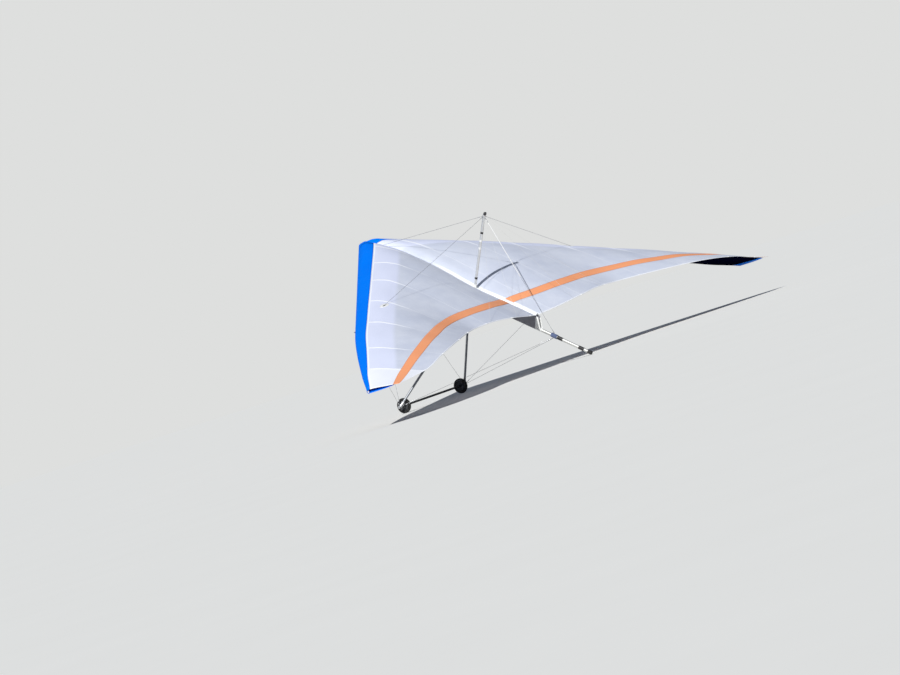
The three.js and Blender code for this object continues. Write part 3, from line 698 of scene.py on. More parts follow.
white_webbing = webbing_finish("white webbing", colour(251, 251, 248), colour(216, 216, 212))
blue_webbing = webbing_finish("blue wrap webbing", colour(96, 112, 152), colour(58, 68, 98))
print("finishes:", white_webbing.name, blue_webbing.name)

# %% [markdown]
# ## The wing's shape
#
# The wing is described by one table, the same as in the CAD source: at each distance across, where the
# leading-edge tube runs, where the trailing edge runs and how full the sail is between them. Between the rows
# the numbers are joined by smooth curves, so the sail can be drawn as finely as the picture needs.

# %% The wing from root to tip, in level millimetres
WING_COLUMNS = ["across", "tubeAft", "tubeUp", "edgeAft", "edgeUp", "camber", "nose", "strip", "under",
                "stripeFront", "stripeRear"]
WING = np.array([
    [0, -24, 0, 2691, 155, 70, 128, 185, 430, 2160, 2275],
    [400, 215, 15.5, 2760, 241, 156, 100, 180, 450, 2276, 2391],
    [900, 514, 35, 2801, 329, 199, 56, 170, 470, 2365, 2478],
    [1400, 812, 54, 2784, 354, 188, 46, 160, 470, 2386, 2500],
    [1900, 1111, 74, 2806, 358, 160, 49, 150, 470, 2416, 2530],
    [2400, 1409, 93, 2952, 443, 128, 47, 140, 470, 2545, 2660],
    [2900, 1708, 112.5, 3132, 543, 95, 37, 134, 470, 2700, 2830],
    [3400, 2012, 132, 3290, 611, 70, 33, 122, 680, 2868, 2994],
    [3900, 2354, 151, 3419, 620, 48, 33, 106, 930, 3030, 3155],
    [4300, 2646, 167, 3508, 579, 32, 33, 76, 780, 3162, 3275],
    [4600, 2870, 178, 3491, 517, 20, 31, 46, 560, 3266, 3373],
    [4915, 3099, 190.6, 3473, 468, 8, 17, 30, 320, 3398, 3466],
]) / 1000
TIP = WING[-1, 0]
WRAP = 0.033           # radius of the cloth round the leading-edge tube
TIP_WRAP = 0.017       # and round the thin wand at the tip
SAIL_ROOT = 0.0328     # the two halves of the sail start here, under the centre strip
BATTENS = np.array([0.28, 0.92, 1.56, 2.28, 2.98, 3.80, 4.40])


def wing_column(name, x):
    """A column of the table at any distance across, by a smooth curve through the rows."""
    across, values = WING[:, 0], WING[:, WING_COLUMNS.index(name)]
    last = len(across) - 1
    i = np.clip(np.searchsorted(across, x, side="right") - 1, 0, last - 1)

    def slope(k):
        a, b = np.maximum(k - 1, 0), np.minimum(k + 1, last)
        return (values[b] - values[a]) / (across[b] - across[a])

    span = across[i + 1] - across[i]
    t = (x - across[i]) / span
    return ((1 + 2 * t) * (1 - t) ** 2 * values[i] + t * (1 - t) ** 2 * span * slope(i)
            + t * t * (3 - 2 * t) * values[i + 1] + t * t * (t - 1) * span * slope(i + 1))


# %% The sail's section at any distance across
def section(x):
    x = np.abs(np.asarray(x, float))
    rib = {name: wing_column(name, x) for name in WING_COLUMNS[1:]}
    behind = np.maximum(x - 0.001, 0)
    sweep = (wing_column("tubeAft", x + 0.001) - wing_column("tubeAft", behind)) / (x + 0.001 - behind)
    rib["x"] = x
    outboard = np.clip((x - 4.5) / 0.415, 0, 1)
    rib["wrap"] = WRAP + (TIP_WRAP - WRAP) * outboard * outboard * (3 - 2 * outboard)
    rib["noseAft"] = rib["wrap"] * np.hypot(1, np.where(x < 0.1, 0.5972, sweep))
    rib["noseUp"] = rib["nose"] - 0.092 * np.exp(-(x / 0.075) ** 2)
    rib["reach"] = np.maximum(rib["noseAft"], 0.8 * rib["noseUp"])
    rib["front"] = rib["tubeAft"] - rib["noseAft"]
    rib["chord"] = rib["edgeAft"] - rib["front"]
    rib["underEdge"] = rib["front"] + rib["under"]
    rib["stripEdge"] = rib["front"] + rib["strip"]
    return rib


def sail_top(rib, y):
    """The height of the sail's upper side at a distance aft."""
    s = np.maximum(y - rib["front"], 0)
    t = s / rib["chord"]
    w = np.maximum((t - 0.25) / 0.75, 0)
    shape = np.where(t < 0.25, 1 - (1 - t / 0.25) ** 2, 0.5 * ((1 - w) ** 2 * (1 + 2 * w) + 1 - w * w))
    round_nose = np.sqrt(np.clip(1 - (1 - np.minimum(s / rib["reach"], 1)) ** 2, 0, 1))
    dip = 0.034 * np.exp(-(rib["x"] / 0.26) ** 2) * np.exp(-((y - 1.74) / 0.42) ** 2)
    return (rib["tubeUp"] + (rib["edgeUp"] - rib["tubeUp"]) * t + rib["camber"] * shape
            + rib["noseUp"] * round_nose * (1 - t) - dip)


root = section(SAIL_ROOT)
print("sail at the root: front", round(float(root["front"]), 3), "rear", round(float(root["edgeAft"]), 3))

# %% [markdown]
# Real cloth isn't a perfect surface. The battens in their pockets stand up as low ridges, the cloth between
# two battens is a little fuller, and near the tubes there are long soft pulls. These are all a few
# millimetres, made with plain waves, so that they are the same each time the script runs.

# %% The life in the cloth
def smooth_step(t):
    t = np.clip(t, 0, 1)
    return t * t * (3 - 2 * t)


def cloth_life(rib, y):
    x = rib["x"]
    behind = y - rib["stripEdge"]
    left = rib["edgeAft"] - y
    fade_in, fade_out = smooth_step(behind / 0.12), smooth_step(left / 0.10)
    off = np.min([np.abs(x - b) for b in BATTENS], axis=0)
    ridge = 0.0035 * np.exp(-(off / 0.0085) ** 2) * (0.45 + 0.55 * (1 - smooth_step((behind - 0.3) / 0.5)))
    edges = np.concatenate([[0.0], BATTENS, [TIP]])
    bay = np.clip(np.searchsorted(edges, x, side="right") - 1, 0, len(edges) - 2)
    across_bay = (x - edges[bay]) / (edges[bay + 1] - edges[bay])
    full = 0.005 * np.sin(np.pi * np.clip(across_bay, 0, 1)) * np.sin(np.pi * np.clip(behind / 1.6, 0, 1))
    pulls = (0.0014 * np.sin(7.3 * x + 3.1 * y + 0.7) + 0.0011 * np.sin(17.0 * (x - 0.9 * y) + 1.9)
             * np.exp(-behind / 0.7) + 0.0008 * np.sin(29.0 * y - 11.0 * x + 0.4))
    return (ridge + (full + pulls) * fade_out) * fade_in


def distance_to_batten(x):
    return np.min([np.abs(x - b) for b in BATTENS], axis=0)


# %% [markdown]
# A sheet of sail is a fine grid: close lines where a batten pocket is, wider ones between. Solidify gives it
# the thickness of sewn cloth on the inside.

# %% Make a sheet of sail
def across_lines(start, end, step=0.04, extra=()):
    lines = list(np.linspace(start, end, int((end - start) / step) + 2))
    for b in BATTENS:
        lines += [b + d for d in (-0.020, -0.013, -0.008, -0.004, 0, 0.004, 0.008, 0.013, 0.020)]
    lines = sorted(x for x in [*lines, *extra] if start <= x <= end)
    kept = [lines[0]]
    for x in lines[1:]:
        if x - kept[-1] > 0.0025:
            kept.append(x)
    kept[-1] = end
    return np.array(kept)


def thicken(piece, thickness):
    solid = piece.modifiers.new("cloth thickness", "SOLIDIFY")
    solid.thickness = thickness
    solid.offset = -1


def add_map(piece, name, grid_uv, keep=None, reverse=False):
    """One more map on a sheet that was made from a grid."""
    maps = skin(np.zeros((*grid_uv.shape[:2], 3)), grid_uv, keep=keep)[2]
    maps = [face[::-1] for face in maps] if reverse else maps
    layer = piece.data.uv_layers.new(name=name)
    layer.data.foreach_set("uv", np.array(maps, float).ravel())


def cloth_length(grid):
    steps = np.linalg.norm(np.diff(grid, axis=1), axis=2)
    return np.concatenate([np.zeros((len(grid), 1)), np.cumsum(steps, 1)], 1)


def sail_sheet(name, grid, lines, ways, finish, stands_for, side, thickness=0.0012, keep=None,
               marks=0, sharp=50):
    """grid: the points of the left half. lines and ways: the two maps that place the details."""
    uv = np.stack([grid[..., 0], cloth_length(grid)], axis=-1)
    form = skin(grid, uv, marks, keep=keep)
    piece = make_piece(name, form if side > 0 else mirrored(form), finish, stands_for, sharp=sharp)
    add_map(piece, "lines", lines, keep, side < 0)
    add_map(piece, "ways", ways, keep, side < 0)
    thicken(piece, thickness)
    return piece


def plain(grid, value=0.5):
    return np.full((*grid.shape[:2], 2), value)


# %% [markdown]
# ## The upper sail
#
# On each side there are three panels: the large white one, the orange stripe, and the narrow white one behind
# it. The stripe lies on top of both whites with a lapped seam, as the real one is sewn, so it is raised by the
# thickness of the cloth. The white panel has an opening where the upper side stay goes down through it.

# %% Where the upper stays go through the sail
king_top = bar("kingpost", near=[0, 1.7, 0])[1]


def crossing(node):
    """The point where a stay passes through the sail, and the stay's direction there."""
    a, b, _ = bar(node, near=king_top)
    t = np.linspace(0, 1, 4001)[:, None]
    line = a + (b - a) * t
    above = line[:, 2] - sail_top(section(line[:, 0]), line[:, 1])
    first_below = int(np.argmax(above < 0.001))
    return line[first_below], unit(b - a)


side_hole, side_way = crossing("side_stay_upper_left")
front_hole, front_way = crossing("front_stay_upper")
print("side stay goes through at", side_hole.round(3), " front stay at", front_hole.round(3))


# %% The white, orange and rear white panels
def panel_grid(x, front, rear, steps, lift=0.0):
    """front and rear: (column, extra metres) of the panel's two edges."""
    rib = {key: value[:, None] for key, value in section(x).items()}
    start, end = rib[front[0]] + front[1], rib[rear[0]] + rear[1]
    y = start + (end - start) * np.asarray(steps)[None, :]
    z = sail_top(rib, y) + cloth_life(rib, y) + lift
    grid = np.stack([np.broadcast_to(rib["x"], y.shape), y, z], axis=-1)
    to_seam = np.minimum(y - y[:, :1], y[:, -1:] - y)
    lines = np.stack([np.broadcast_to(distance_to_batten(rib["x"]), y.shape), to_seam], axis=-1)
    ways = np.stack([y - rib["stripEdge"], rib["edgeAft"] - y], axis=-1)
    return grid, lines, ways


panel_x = across_lines(SAIL_ROOT, TIP, extra=side_hole[0] + np.arange(-0.06, 0.061, 0.008))
hole_rib = section(side_hole[0])
hole_t = (side_hole[1] - hole_rib["stripEdge"]) / (hole_rib["stripeFront"] - hole_rib["stripEdge"])
front_steps = np.unique(np.concatenate([np.linspace(0, 1, 56), hole_t + np.arange(-0.04, 0.041, 0.006)]).round(5))
for word, side in (("left", 1), ("right", -1)):
    grid, lines, ways = panel_grid(panel_x, ("stripEdge", 0.0005), ("stripeFront", 0), front_steps)
    centre = (grid[:-1, :-1] + grid[1:, 1:]) / 2
    way = side_way[:2] / np.linalg.norm(side_way[:2])
    along_stay = (centre[..., 0] - side_hole[0]) * way[0] + (centre[..., 1] - side_hole[1]) * way[1]
    beside = (centre[..., 0] - side_hole[0]) * -way[1] + (centre[..., 1] - side_hole[1]) * way[0]
    cloth_here = (along_stay / 0.042) ** 2 + (beside / 0.016) ** 2 > 1
    sail_sheet(f"white_panel_{word}", grid, lines, ways, white_cloth, f"sail_front_{word}", side,
               keep=cloth_here)
    grid, lines, ways = panel_grid(panel_x, ("stripeFront", -0.006), ("stripeRear", 0.006), np.linspace(0, 1, 8), 0.0014)
    sail_sheet(f"orange_stripe_{word}", grid, lines, ways, orange_cloth, f"sail_stripe_{word}",
               side, thickness=0.001)
    grid, lines, ways = panel_grid(panel_x, ("stripeRear", 0.0005), ("edgeAft", 0), np.linspace(0, 1, 14))
    sail_sheet(f"rear_white_panel_{word}", grid, lines, ways, white_cloth, f"sail_rear_{word}", side)

# %% [markdown]
# ## The blue leading edge
#
# A strip of blue cloth starts on top of the sail, goes round the leading-edge tube and carries on below as the
# lower surface, which is navy cloth darkened to near-black with painted shade, but for the very tip, which stays blue.
# One grid row follows that whole path: dense where it turns round the tube, wide where it is nearly flat. An opening
# below leaves room for the bracket of the crossbar.

# %% The blue strip, round the tube, and the navy lower surface with painted shade
STRIP_SHARES = (np.arange(14, 0, -1) / 14) ** 1.8
WRAP_ANGLES = np.arange(180, 306, 12.5)
UNDER_SHARES = np.concatenate([np.linspace(0, 0.3, 6)[1:], np.linspace(0.3, 1, 10)[1:]])


def skin_grid(x):
    rib = section(x)
    rows = []
    for share in STRIP_SHARES:
        y = rib["front"] + rib["strip"] * share
        rows.append((y, sail_top(rib, y) + cloth_life(rib, y)))
    for degrees in WRAP_ANGLES:
        a = math.radians(degrees)
        rows.append((rib["tubeAft"] + rib["noseAft"] * math.cos(a), rib["tubeUp"] + rib["wrap"] * math.sin(a)))
    low_y, low_z = rows[-1]
    rear_z = sail_top(rib, rib["underEdge"]) - 0.009
    belly = np.maximum(0.006, 0.11 * (rib["under"] - 0.4))
    for share in UNDER_SHARES:
        pulls = 0.0012 * np.sin(9 * rib["x"] + 5 * share) * math.sin(math.pi * share)
        rows.append((low_y + (rib["underEdge"] - low_y) * share,
                     low_z + (rear_z - low_z) * share - math.sin(math.pi * share) * belly + pulls))
    y = np.stack([row[0] for row in rows], axis=1)
    z = np.stack([row[1] for row in rows], axis=1)
    return np.stack([np.broadcast_to(rib["x"][:, None], y.shape), y, z], axis=-1)


skin_x = across_lines(0.162, TIP, 0.05, extra=[2.95, 3.0, 3.06, 3.11])
skin_points = skin_grid(skin_x)
top_count, wrap_count = len(STRIP_SHARES), len(WRAP_ANGLES)
# The lower surface from here on takes the navy with painted shade.
painted_shade_from = top_count + 4
cell_x = (skin_x[:-1] + skin_x[1:]) / 2
cell_j = np.arange(skin_points.shape[1] - 1)
in_notch = ((cell_x > 2.95) & (cell_x < 3.11))[:, None] & ((cell_j >= top_count + 1) & (
    cell_j < top_count + wrap_count + 4))[None, :]
skin_marks = ((cell_j >= painted_shade_from)[None, :] & (cell_x < 4.84)[:, None]).astype(int)
skin_lines = plain(skin_points)
skin_lines[..., 1] = np.minimum(np.linalg.norm(skin_points - skin_points[:, -1:], axis=2), cloth_length(skin_points))
for word, side in (("left", 1), ("right", -1)):
    sail_sheet(f"blue_edge_{word}", skin_points, skin_lines, plain(skin_points), [blue_cloth, navy_painted_shade_cloth],
               f"leading_edge_skin_{word}", side, keep=~in_notch, marks=skin_marks)

# %% [markdown]
# The cut edge of the opening is bound with a folded tape, here a thin round bead that follows it.

# %% The bound edge of the bracket's opening
first_x, last_x = np.searchsorted(skin_x, [2.9499, 3.1099])
first_j, last_j = top_count + 1, top_count + wrap_count + 4
loop = [skin_points[first_x, j] for j in range(first_j, last_j + 1)]
loop += [skin_points[i, last_j] for i in range(first_x + 1, last_x + 1)]
loop += [skin_points[last_x, j] for j in range(last_j - 1, first_j - 1, -1)]
bead = tube(loop, 0.0028, 8)
# The bead takes the navy finish, darkened with painted shade.
make_piece("notch_binding_left", bead, navy_painted_shade_cloth)
make_piece("notch_binding_right", mirrored(bead), navy_painted_shade_cloth)
print("opening bound,", len(loop), "points")

# %% [markdown]
# ## The nose cover
#
# The two skins meet under a cover that is held over the nose with a fold of cloth. It is the same section,
# fuller in the middle, and open below for the nose plates and the front stays.

# %% The nose cover
COVER_HALF, COVER_RADIUS = 0.160, 0.044


def cover_row(f):
    rib = {key: float(value) for key, value in section(max(abs(f) * COVER_HALF, 0.001)).items()}
    fuller = WRAP + (COVER_RADIUS - WRAP) * math.cos(f * math.pi / 2)
    yc, zc = rib["tubeAft"] + 0.012 * (1 - f * f), rib["tubeUp"]
    rear = rib["front"] + rib["strip"] - 0.0002
    wide = rib["noseAft"] * fuller / WRAP
    row = []
    for t in np.linspace(1, 0.06, 18):
        y = yc + (rear - yc) * t
        row.append((y, sail_top(rib, y) + (fuller - WRAP) * (1 - t) ** 0.5))
    for part in (0.8, 0.6, 0.45, 0.3, 0.16, 0.06):
        y = rib["front"] + wide * part
        row.append((yc - wide + wide * part, sail_top(rib, y) + (fuller - WRAP) * part))
    for degrees in np.arange(180, 241, 7.5):
        a = math.radians(degrees)
        row.append((yc + wide * math.cos(a), zc + fuller * math.sin(a)))
    return [(f * COVER_HALF, y, z) for y, z in row]


cover_points = np.array([cover_row(f) for f in np.linspace(-1, 1, 41)])
cover_points[:, :, 2] += 0.0012
cover_lines = plain(cover_points)
cover_lines[..., 1] = cloth_length(cover_points)
sail_sheet("blue_nose_cover", cover_points, cover_lines, plain(cover_points), blue_cloth, "nose_cover", 1,
           thickness=0.0014, sharp=60)

# %% [markdown]
# ## The centre strip
#
# Both halves of the sail meet on the keel line under a raised white strip, whose flat edges lie on the sail. Its
# rear half, and the sail beside it, are given a brighter white. It is slotted for the kingpost and for the front upper
# stay, and each slot has a sewn collar.

# %% The centre strip
strip_front = float(root["front"] + root["strip"]) + 0.006
strip_rear = float(root["edgeAft"])
post_base, post_top, post_radius = bar("kingpost", near=[0, 1.7, 0])
post_y = post_base[1] + (post_top[1] - post_base[1]) * 0.05
aft_lines = sorted([*np.linspace(strip_front, strip_rear, 70), *(post_y + np.arange(-0.04, 0.041, 0.008)),
                    *(front_hole[1] + np.arange(-0.03, 0.031, 0.006))])
side_lines = np.array([-0.038, -0.0345, -0.0325, -0.029, -0.024, -0.016, -0.008, 0, 0.008, 0.016, 0.024, 0.029,
                       0.0325, 0.0345, 0.038])
strip_rib = section(np.full(len(aft_lines), SAIL_ROOT))
strip_z = sail_top(strip_rib, np.array(aft_lines))
strip_crown = 0.020 * np.clip(aft_lines, 0.2, 1)      # flat at the nose, round-backed from the middle on
strip_points = np.array([[(x, y, z + (0.005 + crown * (1 - (x / 0.0325) ** 2) if abs(x) < 0.033 else 0.0019))
                          for y, z, crown in zip(aft_lines, strip_z, strip_crown)] for x in side_lines])
middle = (strip_points[:-1, :-1] + strip_points[1:, 1:]) / 2
whole = ((middle[..., 0] / 0.023) ** 2 + ((middle[..., 1] - post_y) / 0.025) ** 2 > 1) & (
    (middle[..., 0] / 0.01) ** 2 + ((middle[..., 1] - front_hole[1]) / 0.02) ** 2 > 1)
strip_lines = np.stack([np.full(strip_points.shape[:2], 0.5), 0.0395 - np.abs(strip_points[..., 0])], -1)
strip_ways = plain(strip_points)
strip_ways[..., 0] = strip_points[..., 1] - strip_front
sail_sheet("centre_strip", strip_points, strip_lines, strip_ways, white_cloth, "sail_centre_strip", 1,
           thickness=0.0014, keep=whole)


# %% [markdown]
# A collar is a flat oval ring of doubled cloth, with the stay or the post through its middle. It hides the raw
# edge of the opening.

# %% Sewn collars round the post and the stays
def collar(centre, along, across, inner, outer, height, squareness=2.0):
    """A ring that follows the sail. inner and outer: half sizes along and across."""
    turn = np.linspace(0, 2 * math.pi, 41)[:-1]
    shares = [0, 0.12, 0.5, 0.88, 1]
    rings = []
    for share in shares:
        a = inner[0] + (outer[0] - inner[0]) * share
        b = inner[1] + (outer[1] - inner[1]) * share
        flat = centre[:2] + (a * np.cos(turn))[:, None] * along[:2] + (b * np.sin(turn))[:, None] * across[:2]
        rise = height + (0.0015 if 0 < share < 1 else 0)
        rib = section(np.maximum(np.abs(flat[:, 0]), SAIL_ROOT))
        rings.append(np.column_stack([flat, sail_top(rib, flat[:, 1]) + cloth_life(rib, flat[:, 1]) + rise]))
    lower = [ring - [0, 0, 0.003] for ring in (rings[-1], rings[0])]
    rings = np.array([*rings, *lower])
    steps = np.array([*np.array(shares) * 0.03, 0.034, 0.06])
    around = np.full(len(rings), 2 * math.pi * (inner[0] + outer[0]) / 2)
    points, faces, maps, marks = join_rings(rings, steps, around, True)
    if np.cross(along[:2], across[:2]) > 0:
        return points, [face[::-1] for face in faces], [uv[::-1] for uv in maps], marks
    return points, faces, maps, marks


flat_way = unit([side_way[0], side_way[1], 0])
flat_side = np.array([-flat_way[1], flat_way[0], 0])
patch = collar(side_hole, flat_way, flat_side, (0.036, 0.010), (0.085, 0.045), 0.0012)
make_piece("side_stay_patch_left", patch, white_webbing)
make_piece("side_stay_patch_right", mirrored(patch), white_webbing)
make_piece("front_stay_patch", collar(front_hole, np.array([0, 1.0]), np.array([1.0, 0]), (0.016, 0.0075),
                                      (0.032, 0.02), 0.0095), white_webbing)
post_way = unit(post_top - post_base)
boot_start = (float(sail_top(root, post_y)) - 0.002 - post_base[2]) / post_way[2]
boot = [(0, 0.0186), (0, 0.0262), (0.006, 0.0268), (0.022, 0.0262), (0.028, 0.0232), (0.046, 0.0222), (0.049, 0.0214),
        (0.052, 0.0222), (0.058, 0.0216), (0.060, 0.0186)]
make_piece("kingpost_boot", turned([(t + boot_start, r) for t, r in boot], post_base, post_way, 40, True),
           white_webbing, sharp=60)
print("collars made")

# %% [markdown]
# ## The keel pocket
#
# Behind the control frame, a deep pocket of white cloth under the sail takes the keel. It keeps the sail's root
# above the keel and steadies the glider. Seen from the side it is a wedge in the sail's shade; that shade is painted
# into its cloth as grey.

# %% The keel pocket
POCKET = {"start": 1.960, "end": 2.732}


def pocket_row(y):
    up = float(sail_top(root, min(y, 2.680))) - 0.0036
    radius = 0.0243
    row = [(-0.028, up), (-0.0275, up * 0.75), (-0.026, up * 0.5), (-0.0252, up * 0.25)]
    for degrees in np.arange(180, 361, 15):
        a = math.radians(degrees)
        row.append((radius * math.cos(a), radius * math.sin(a)))
    row += [(0.0252, up * 0.25), (0.026, up * 0.5), (0.0275, up * 0.75), (0.028, up)]
    ripple = 0.0016 * math.sin(31 * y)
    return [(x + ripple * math.copysign(1, x) * math.sin(math.pi * min(max(z / up, 0), 1)), y, z) for x, z in row]


pocket_points = np.array([pocket_row(y) for y in np.linspace(POCKET["start"], POCKET["end"], 40)])
pocket_lines = plain(pocket_points)
pocket_lines[..., 1] = np.minimum(pocket_points[..., 1] - POCKET["start"], POCKET["end"] - pocket_points[..., 1])
sail_sheet("keel_pocket_cloth", pocket_points, pocket_lines, plain(pocket_points), pocket_painted_shade_cloth,
           "keel_pocket", 1, sharp=60)

# %% [markdown]
# Two white straps run from the sail's rear corner down to the keel and hold the sail tight along its length.
# They get wider on the way down and close the pocket's rear end. Each is a band: a path with a width and a
# thickness. Below, a wide white loop round the keel takes them both.


# %% A flat band along a path
def band(path, width_way, width, thickness, closed=False):
    path = np.asarray(path, float)
    width_way = unit(width_way)
    ways = np.gradient(path, axis=0)
    if closed:
        ways = np.roll(path, -1, axis=0) - np.roll(path, 1, axis=0)
    rings = []
    widths = np.broadcast_to(width, len(path))
    for spot, way, wide in zip(path, ways, widths):
        out = unit(np.cross(unit(way), width_way))
        w, h = wide / 2, thickness / 2
        outline = [(-w, 0), (-w * 0.96, h), (-w * 0.5, h), (0, h), (w * 0.5, h), (w * 0.96, h), (w, 0),
                   (w * 0.96, -h), (w * 0.5, -h), (0, -h), (-w * 0.5, -h), (-w * 0.96, -h)]
        rings.append([spot + width_way * u + out * v for u, v in outline])
    steps = np.linalg.norm(np.diff(path, axis=0), axis=1)
    along = np.concatenate([[0], np.cumsum(steps)])
    points, faces, maps, marks = join_rings(np.array(rings), along, 2 * widths, closed)
    return points, [face[::-1] for face in faces], [uv[::-1] for uv in maps], marks


# %% The straps at the sail's root, and the hang loop
for word, side in (("left", 1), ("right", -1)):
    t = np.linspace(0, 1, 14)[:, None]
    start, end = np.array([side * 0.0300, 2.7145, 0.1495]), np.array([side * 0.0240, 2.776, -0.004])
    path = start + (end - start) * t + [side * 0.0016, 0, 0] * np.sin(math.pi * t)
    strap = band(path, [0, 1, 0], 0.036 + 0.056 * t[:, 0], 0.0018)
    make_piece(f"root_strap_{word}", strap, white_webbing)

LOOP_CENTRE = parked(np.array([0, 1.850, 0]))
outline = rounded(0.052, 0.3466, 0.016, 6)
loop_path = [(x, 0, z - 0.1287) for x, z in outline]
extra = []
for k, (a, b) in enumerate(zip(loop_path, loop_path[1:] + loop_path[:1])):
    extra.append(a)
    if abs(a[2] - b[2]) > 0.1:
        for f in np.linspace(0, 1, 14)[1:-1]:
            z = a[2] + (b[2] - a[2]) * f
            pinch = 0.012 * math.exp(-((z + 0.06) / 0.02) ** 2) + 0.004 * math.exp(-((z + 0.16) / 0.06) ** 2)
            extra.append((a[0] - math.copysign(pinch, a[0]), 0, z))
loop_points = level(LOOP_CENTRE + np.array(extra))
loop_width_way = level(LOOP_CENTRE + np.array([0, 1, 0])) - level(LOOP_CENTRE)
loop_form = band(loop_points, loop_width_way, 0.0385, 0.0034, closed=True)
make_piece("hang_loop_webbing", loop_form, white_webbing, "hang_loop")
print("straps and loop made")

# %% [markdown]
# ## Tubes
#
# The keel, the leading edges, the crossbar, the kingpost and the downtubes are round aluminium tube. The CAD
# bars are many-sided, so each gets a smooth tube in its exact place, with a rolled edge at its ends.


# %% A smooth tube in place of a CAD bar
def smooth_bar(node, name, finish, near=None, sides=40, edge=0.0015, extra=(), radius=None):
    a, b, r = bar(node, near)
    r = radius or r
    way = unit(b - a)
    long = np.linalg.norm(b - a)
    outline = [(0, r * 0.55), (0, r - edge), (edge, r), *((long * f, r) for f in np.linspace(0.05, 0.95, 10)),
               (long - edge, r), (long, r - edge), (long, r * 0.55)]
    form = turned(outline, a, way, sides)
    return make_piece(name, together(form, *extra), finish, node)


def ring_on(a, way, start, end, inner, outer, sides=32, edge=0.001, finish=0):
    """A sleeve round a tube: a closed ring from start to end along the axis."""
    outline = [(start, inner), (start, outer - edge), (start + edge, outer), (end - edge, outer),
               (end, outer - edge), (end, inner)]
    return turned(outline, a, way, sides, True, finish)


smooth_bar("keel_tube", "keel", tube_metal)
for word in ("left", "right"):
    smooth_bar(f"leading_tube_front_{word}", f"front_leading_edge_{word}", tube_metal)
    smooth_bar(f"crossbar_{word}", f"crossbar_tube_{word}", tube_metal)
    smooth_bar(f"downtube_{word}", f"satin_downtube_{word}", dull_metal)
print("straight tubes made")

# %% The bent rear part of each leading edge, and its white tip wand
rear_x = np.concatenate([[3.1003], np.linspace(3.2, 4.56, 26)])
rear_path = np.column_stack([rear_x, wing_column("tubeAft", rear_x), wing_column("tubeUp", rear_x)])
joint_point = bar("leading_tube_front_left", near=[0, 0, 0])[1]
rear_path[0, 1:] = joint_point[1:] + (0.0003 * 0.5972, 0)
for word, side in (("left", 1), ("right", -1)):
    form = tube(rear_path, 0.025, 32)
    make_piece(f"rear_leading_edge_{word}", form if side > 0 else mirrored(form), tube_metal,
               f"leading_tube_rear_{word}")
    a, b, r = bar(f"tip_cap_{word}", near=[0, 2, 0])
    way = unit(b - a)
    long = np.linalg.norm(b - a)
    outline = [(0, 0.01), (0, r - 0.001), (0.001, r), *((long * f, r + (0.009 - r) * f) for f in np.linspace(0.1, 0.98, 9)),
               (long - 0.003, 0.0085), (long - 0.0008, 0.0062), (long, 0.003)]
    make_piece(f"white_tip_wand_{word}", turned(outline, a, way, 32), white_moulded, f"tip_cap_{word}")
print("rear leading edges bent along", len(rear_path), "points")

# %% [markdown]
# The kingpost is paler than the keel, with two dark tape bands and a pale one. Its cap is a turned plastic
# plug; on the glider it has an eye for the luff lines, which isn't drawn here.

# %% The kingpost
post_long = np.linalg.norm(post_top - post_base)
smooth_bar("kingpost", "kingpost_tube", post_metal, near=[0, 1.7, 0])
bands = []
for height, half in ((0.877, 0.014), (0.275, 0.013)):
    start = (height - post_base[2]) / post_way[2]
    bands.append(ring_on(post_base, post_way, start - half, start + half, post_radius * 0.98, post_radius + 0.0009))
make_piece("kingpost_bands", together(*bands), black_moulded)
pale = [ring_on(post_base, post_way, s, s + 0.03, post_radius * 0.98, post_radius + 0.0006) for s in (0.72, 0.62)]
make_piece("kingpost_pale_bands", together(*pale), white_moulded)
a, b, r = bar("kingpost_cap", near=post_top)
cap_outline = [(0, 0.006), (0, r - 0.001), (0.001, r), (0.014, r), (0.016, r * 0.93), (0.0225, r * 0.86),
               (0.0252, r * 0.7), (0.0257, r * 0.3)]
make_piece("kingpost_top_cap", turned(cap_outline, a, unit(b - a), 32), black_moulded, "kingpost_cap")
foot_low, foot_high = (level(np.array(c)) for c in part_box("kingpost_foot"))
print("kingpost", round(post_long, 3), "m long")

# %% [markdown]
# ## Sleeves and wraps on the keel
#
# Behind the sail the keel carries a blue cloth wrap and two black shrink sleeves, and it ends in a rubber cap
# with ribs, which is the third foot when the glider is parked.

# %% The wrap, the sleeves and the rubber foot
keel_a, keel_b, _ = bar("keel_tube")


def on_keel(start, end, inner, outer, edge=0.0012, **more):
    return ring_on(np.array([0, 0, 0.0]), [0, 1, 0], start, end, inner, outer, edge=edge, **more)


wrap_outline = []
for k in range(6):
    s = 2.970 + k * 0.015
    wrap_outline += [(s + 0.0004, 0.0272), (s + 0.004, 0.0294), (s + 0.0115, 0.0299), (s + 0.0149, 0.0290)]
wrap_outline = [(2.970, 0.0213), *wrap_outline, (3.060, 0.0213)]
make_piece("blue_keel_wrap", turned(wrap_outline, np.zeros(3), [0, 1, 0], 40, True), blue_webbing,
           "keel_collar", sharp=60)
make_piece("root_strap_loop", on_keel(2.735, 2.824, 0.0213, 0.0232), white_webbing)
make_piece("front_keel_sleeve", on_keel(3.066, 3.147, 0.0213, 0.024), black_moulded,
           "keel_sleeve_front")
make_piece("rear_keel_sleeve", on_keel(3.395, 3.477, 0.0213, 0.024), black_moulded,
           "keel_sleeve_rear")
cap = [(3.536, 0.0213), (3.536, 0.0243), (3.537, 0.025)]
for s in (3.544, 3.553, 3.562):
    cap += [(s - 0.0015, 0.025), (s - 0.0008, 0.0241), (s + 0.0008, 0.0241), (s + 0.0015, 0.025)]
cap += [(3.588, 0.025), (3.5900, 0.0249), (3.5928, 0.0228), (3.594, 0.0205), (3.594, 0.004),
        (3.5606, 0.004), (3.5603, 0.0213)]
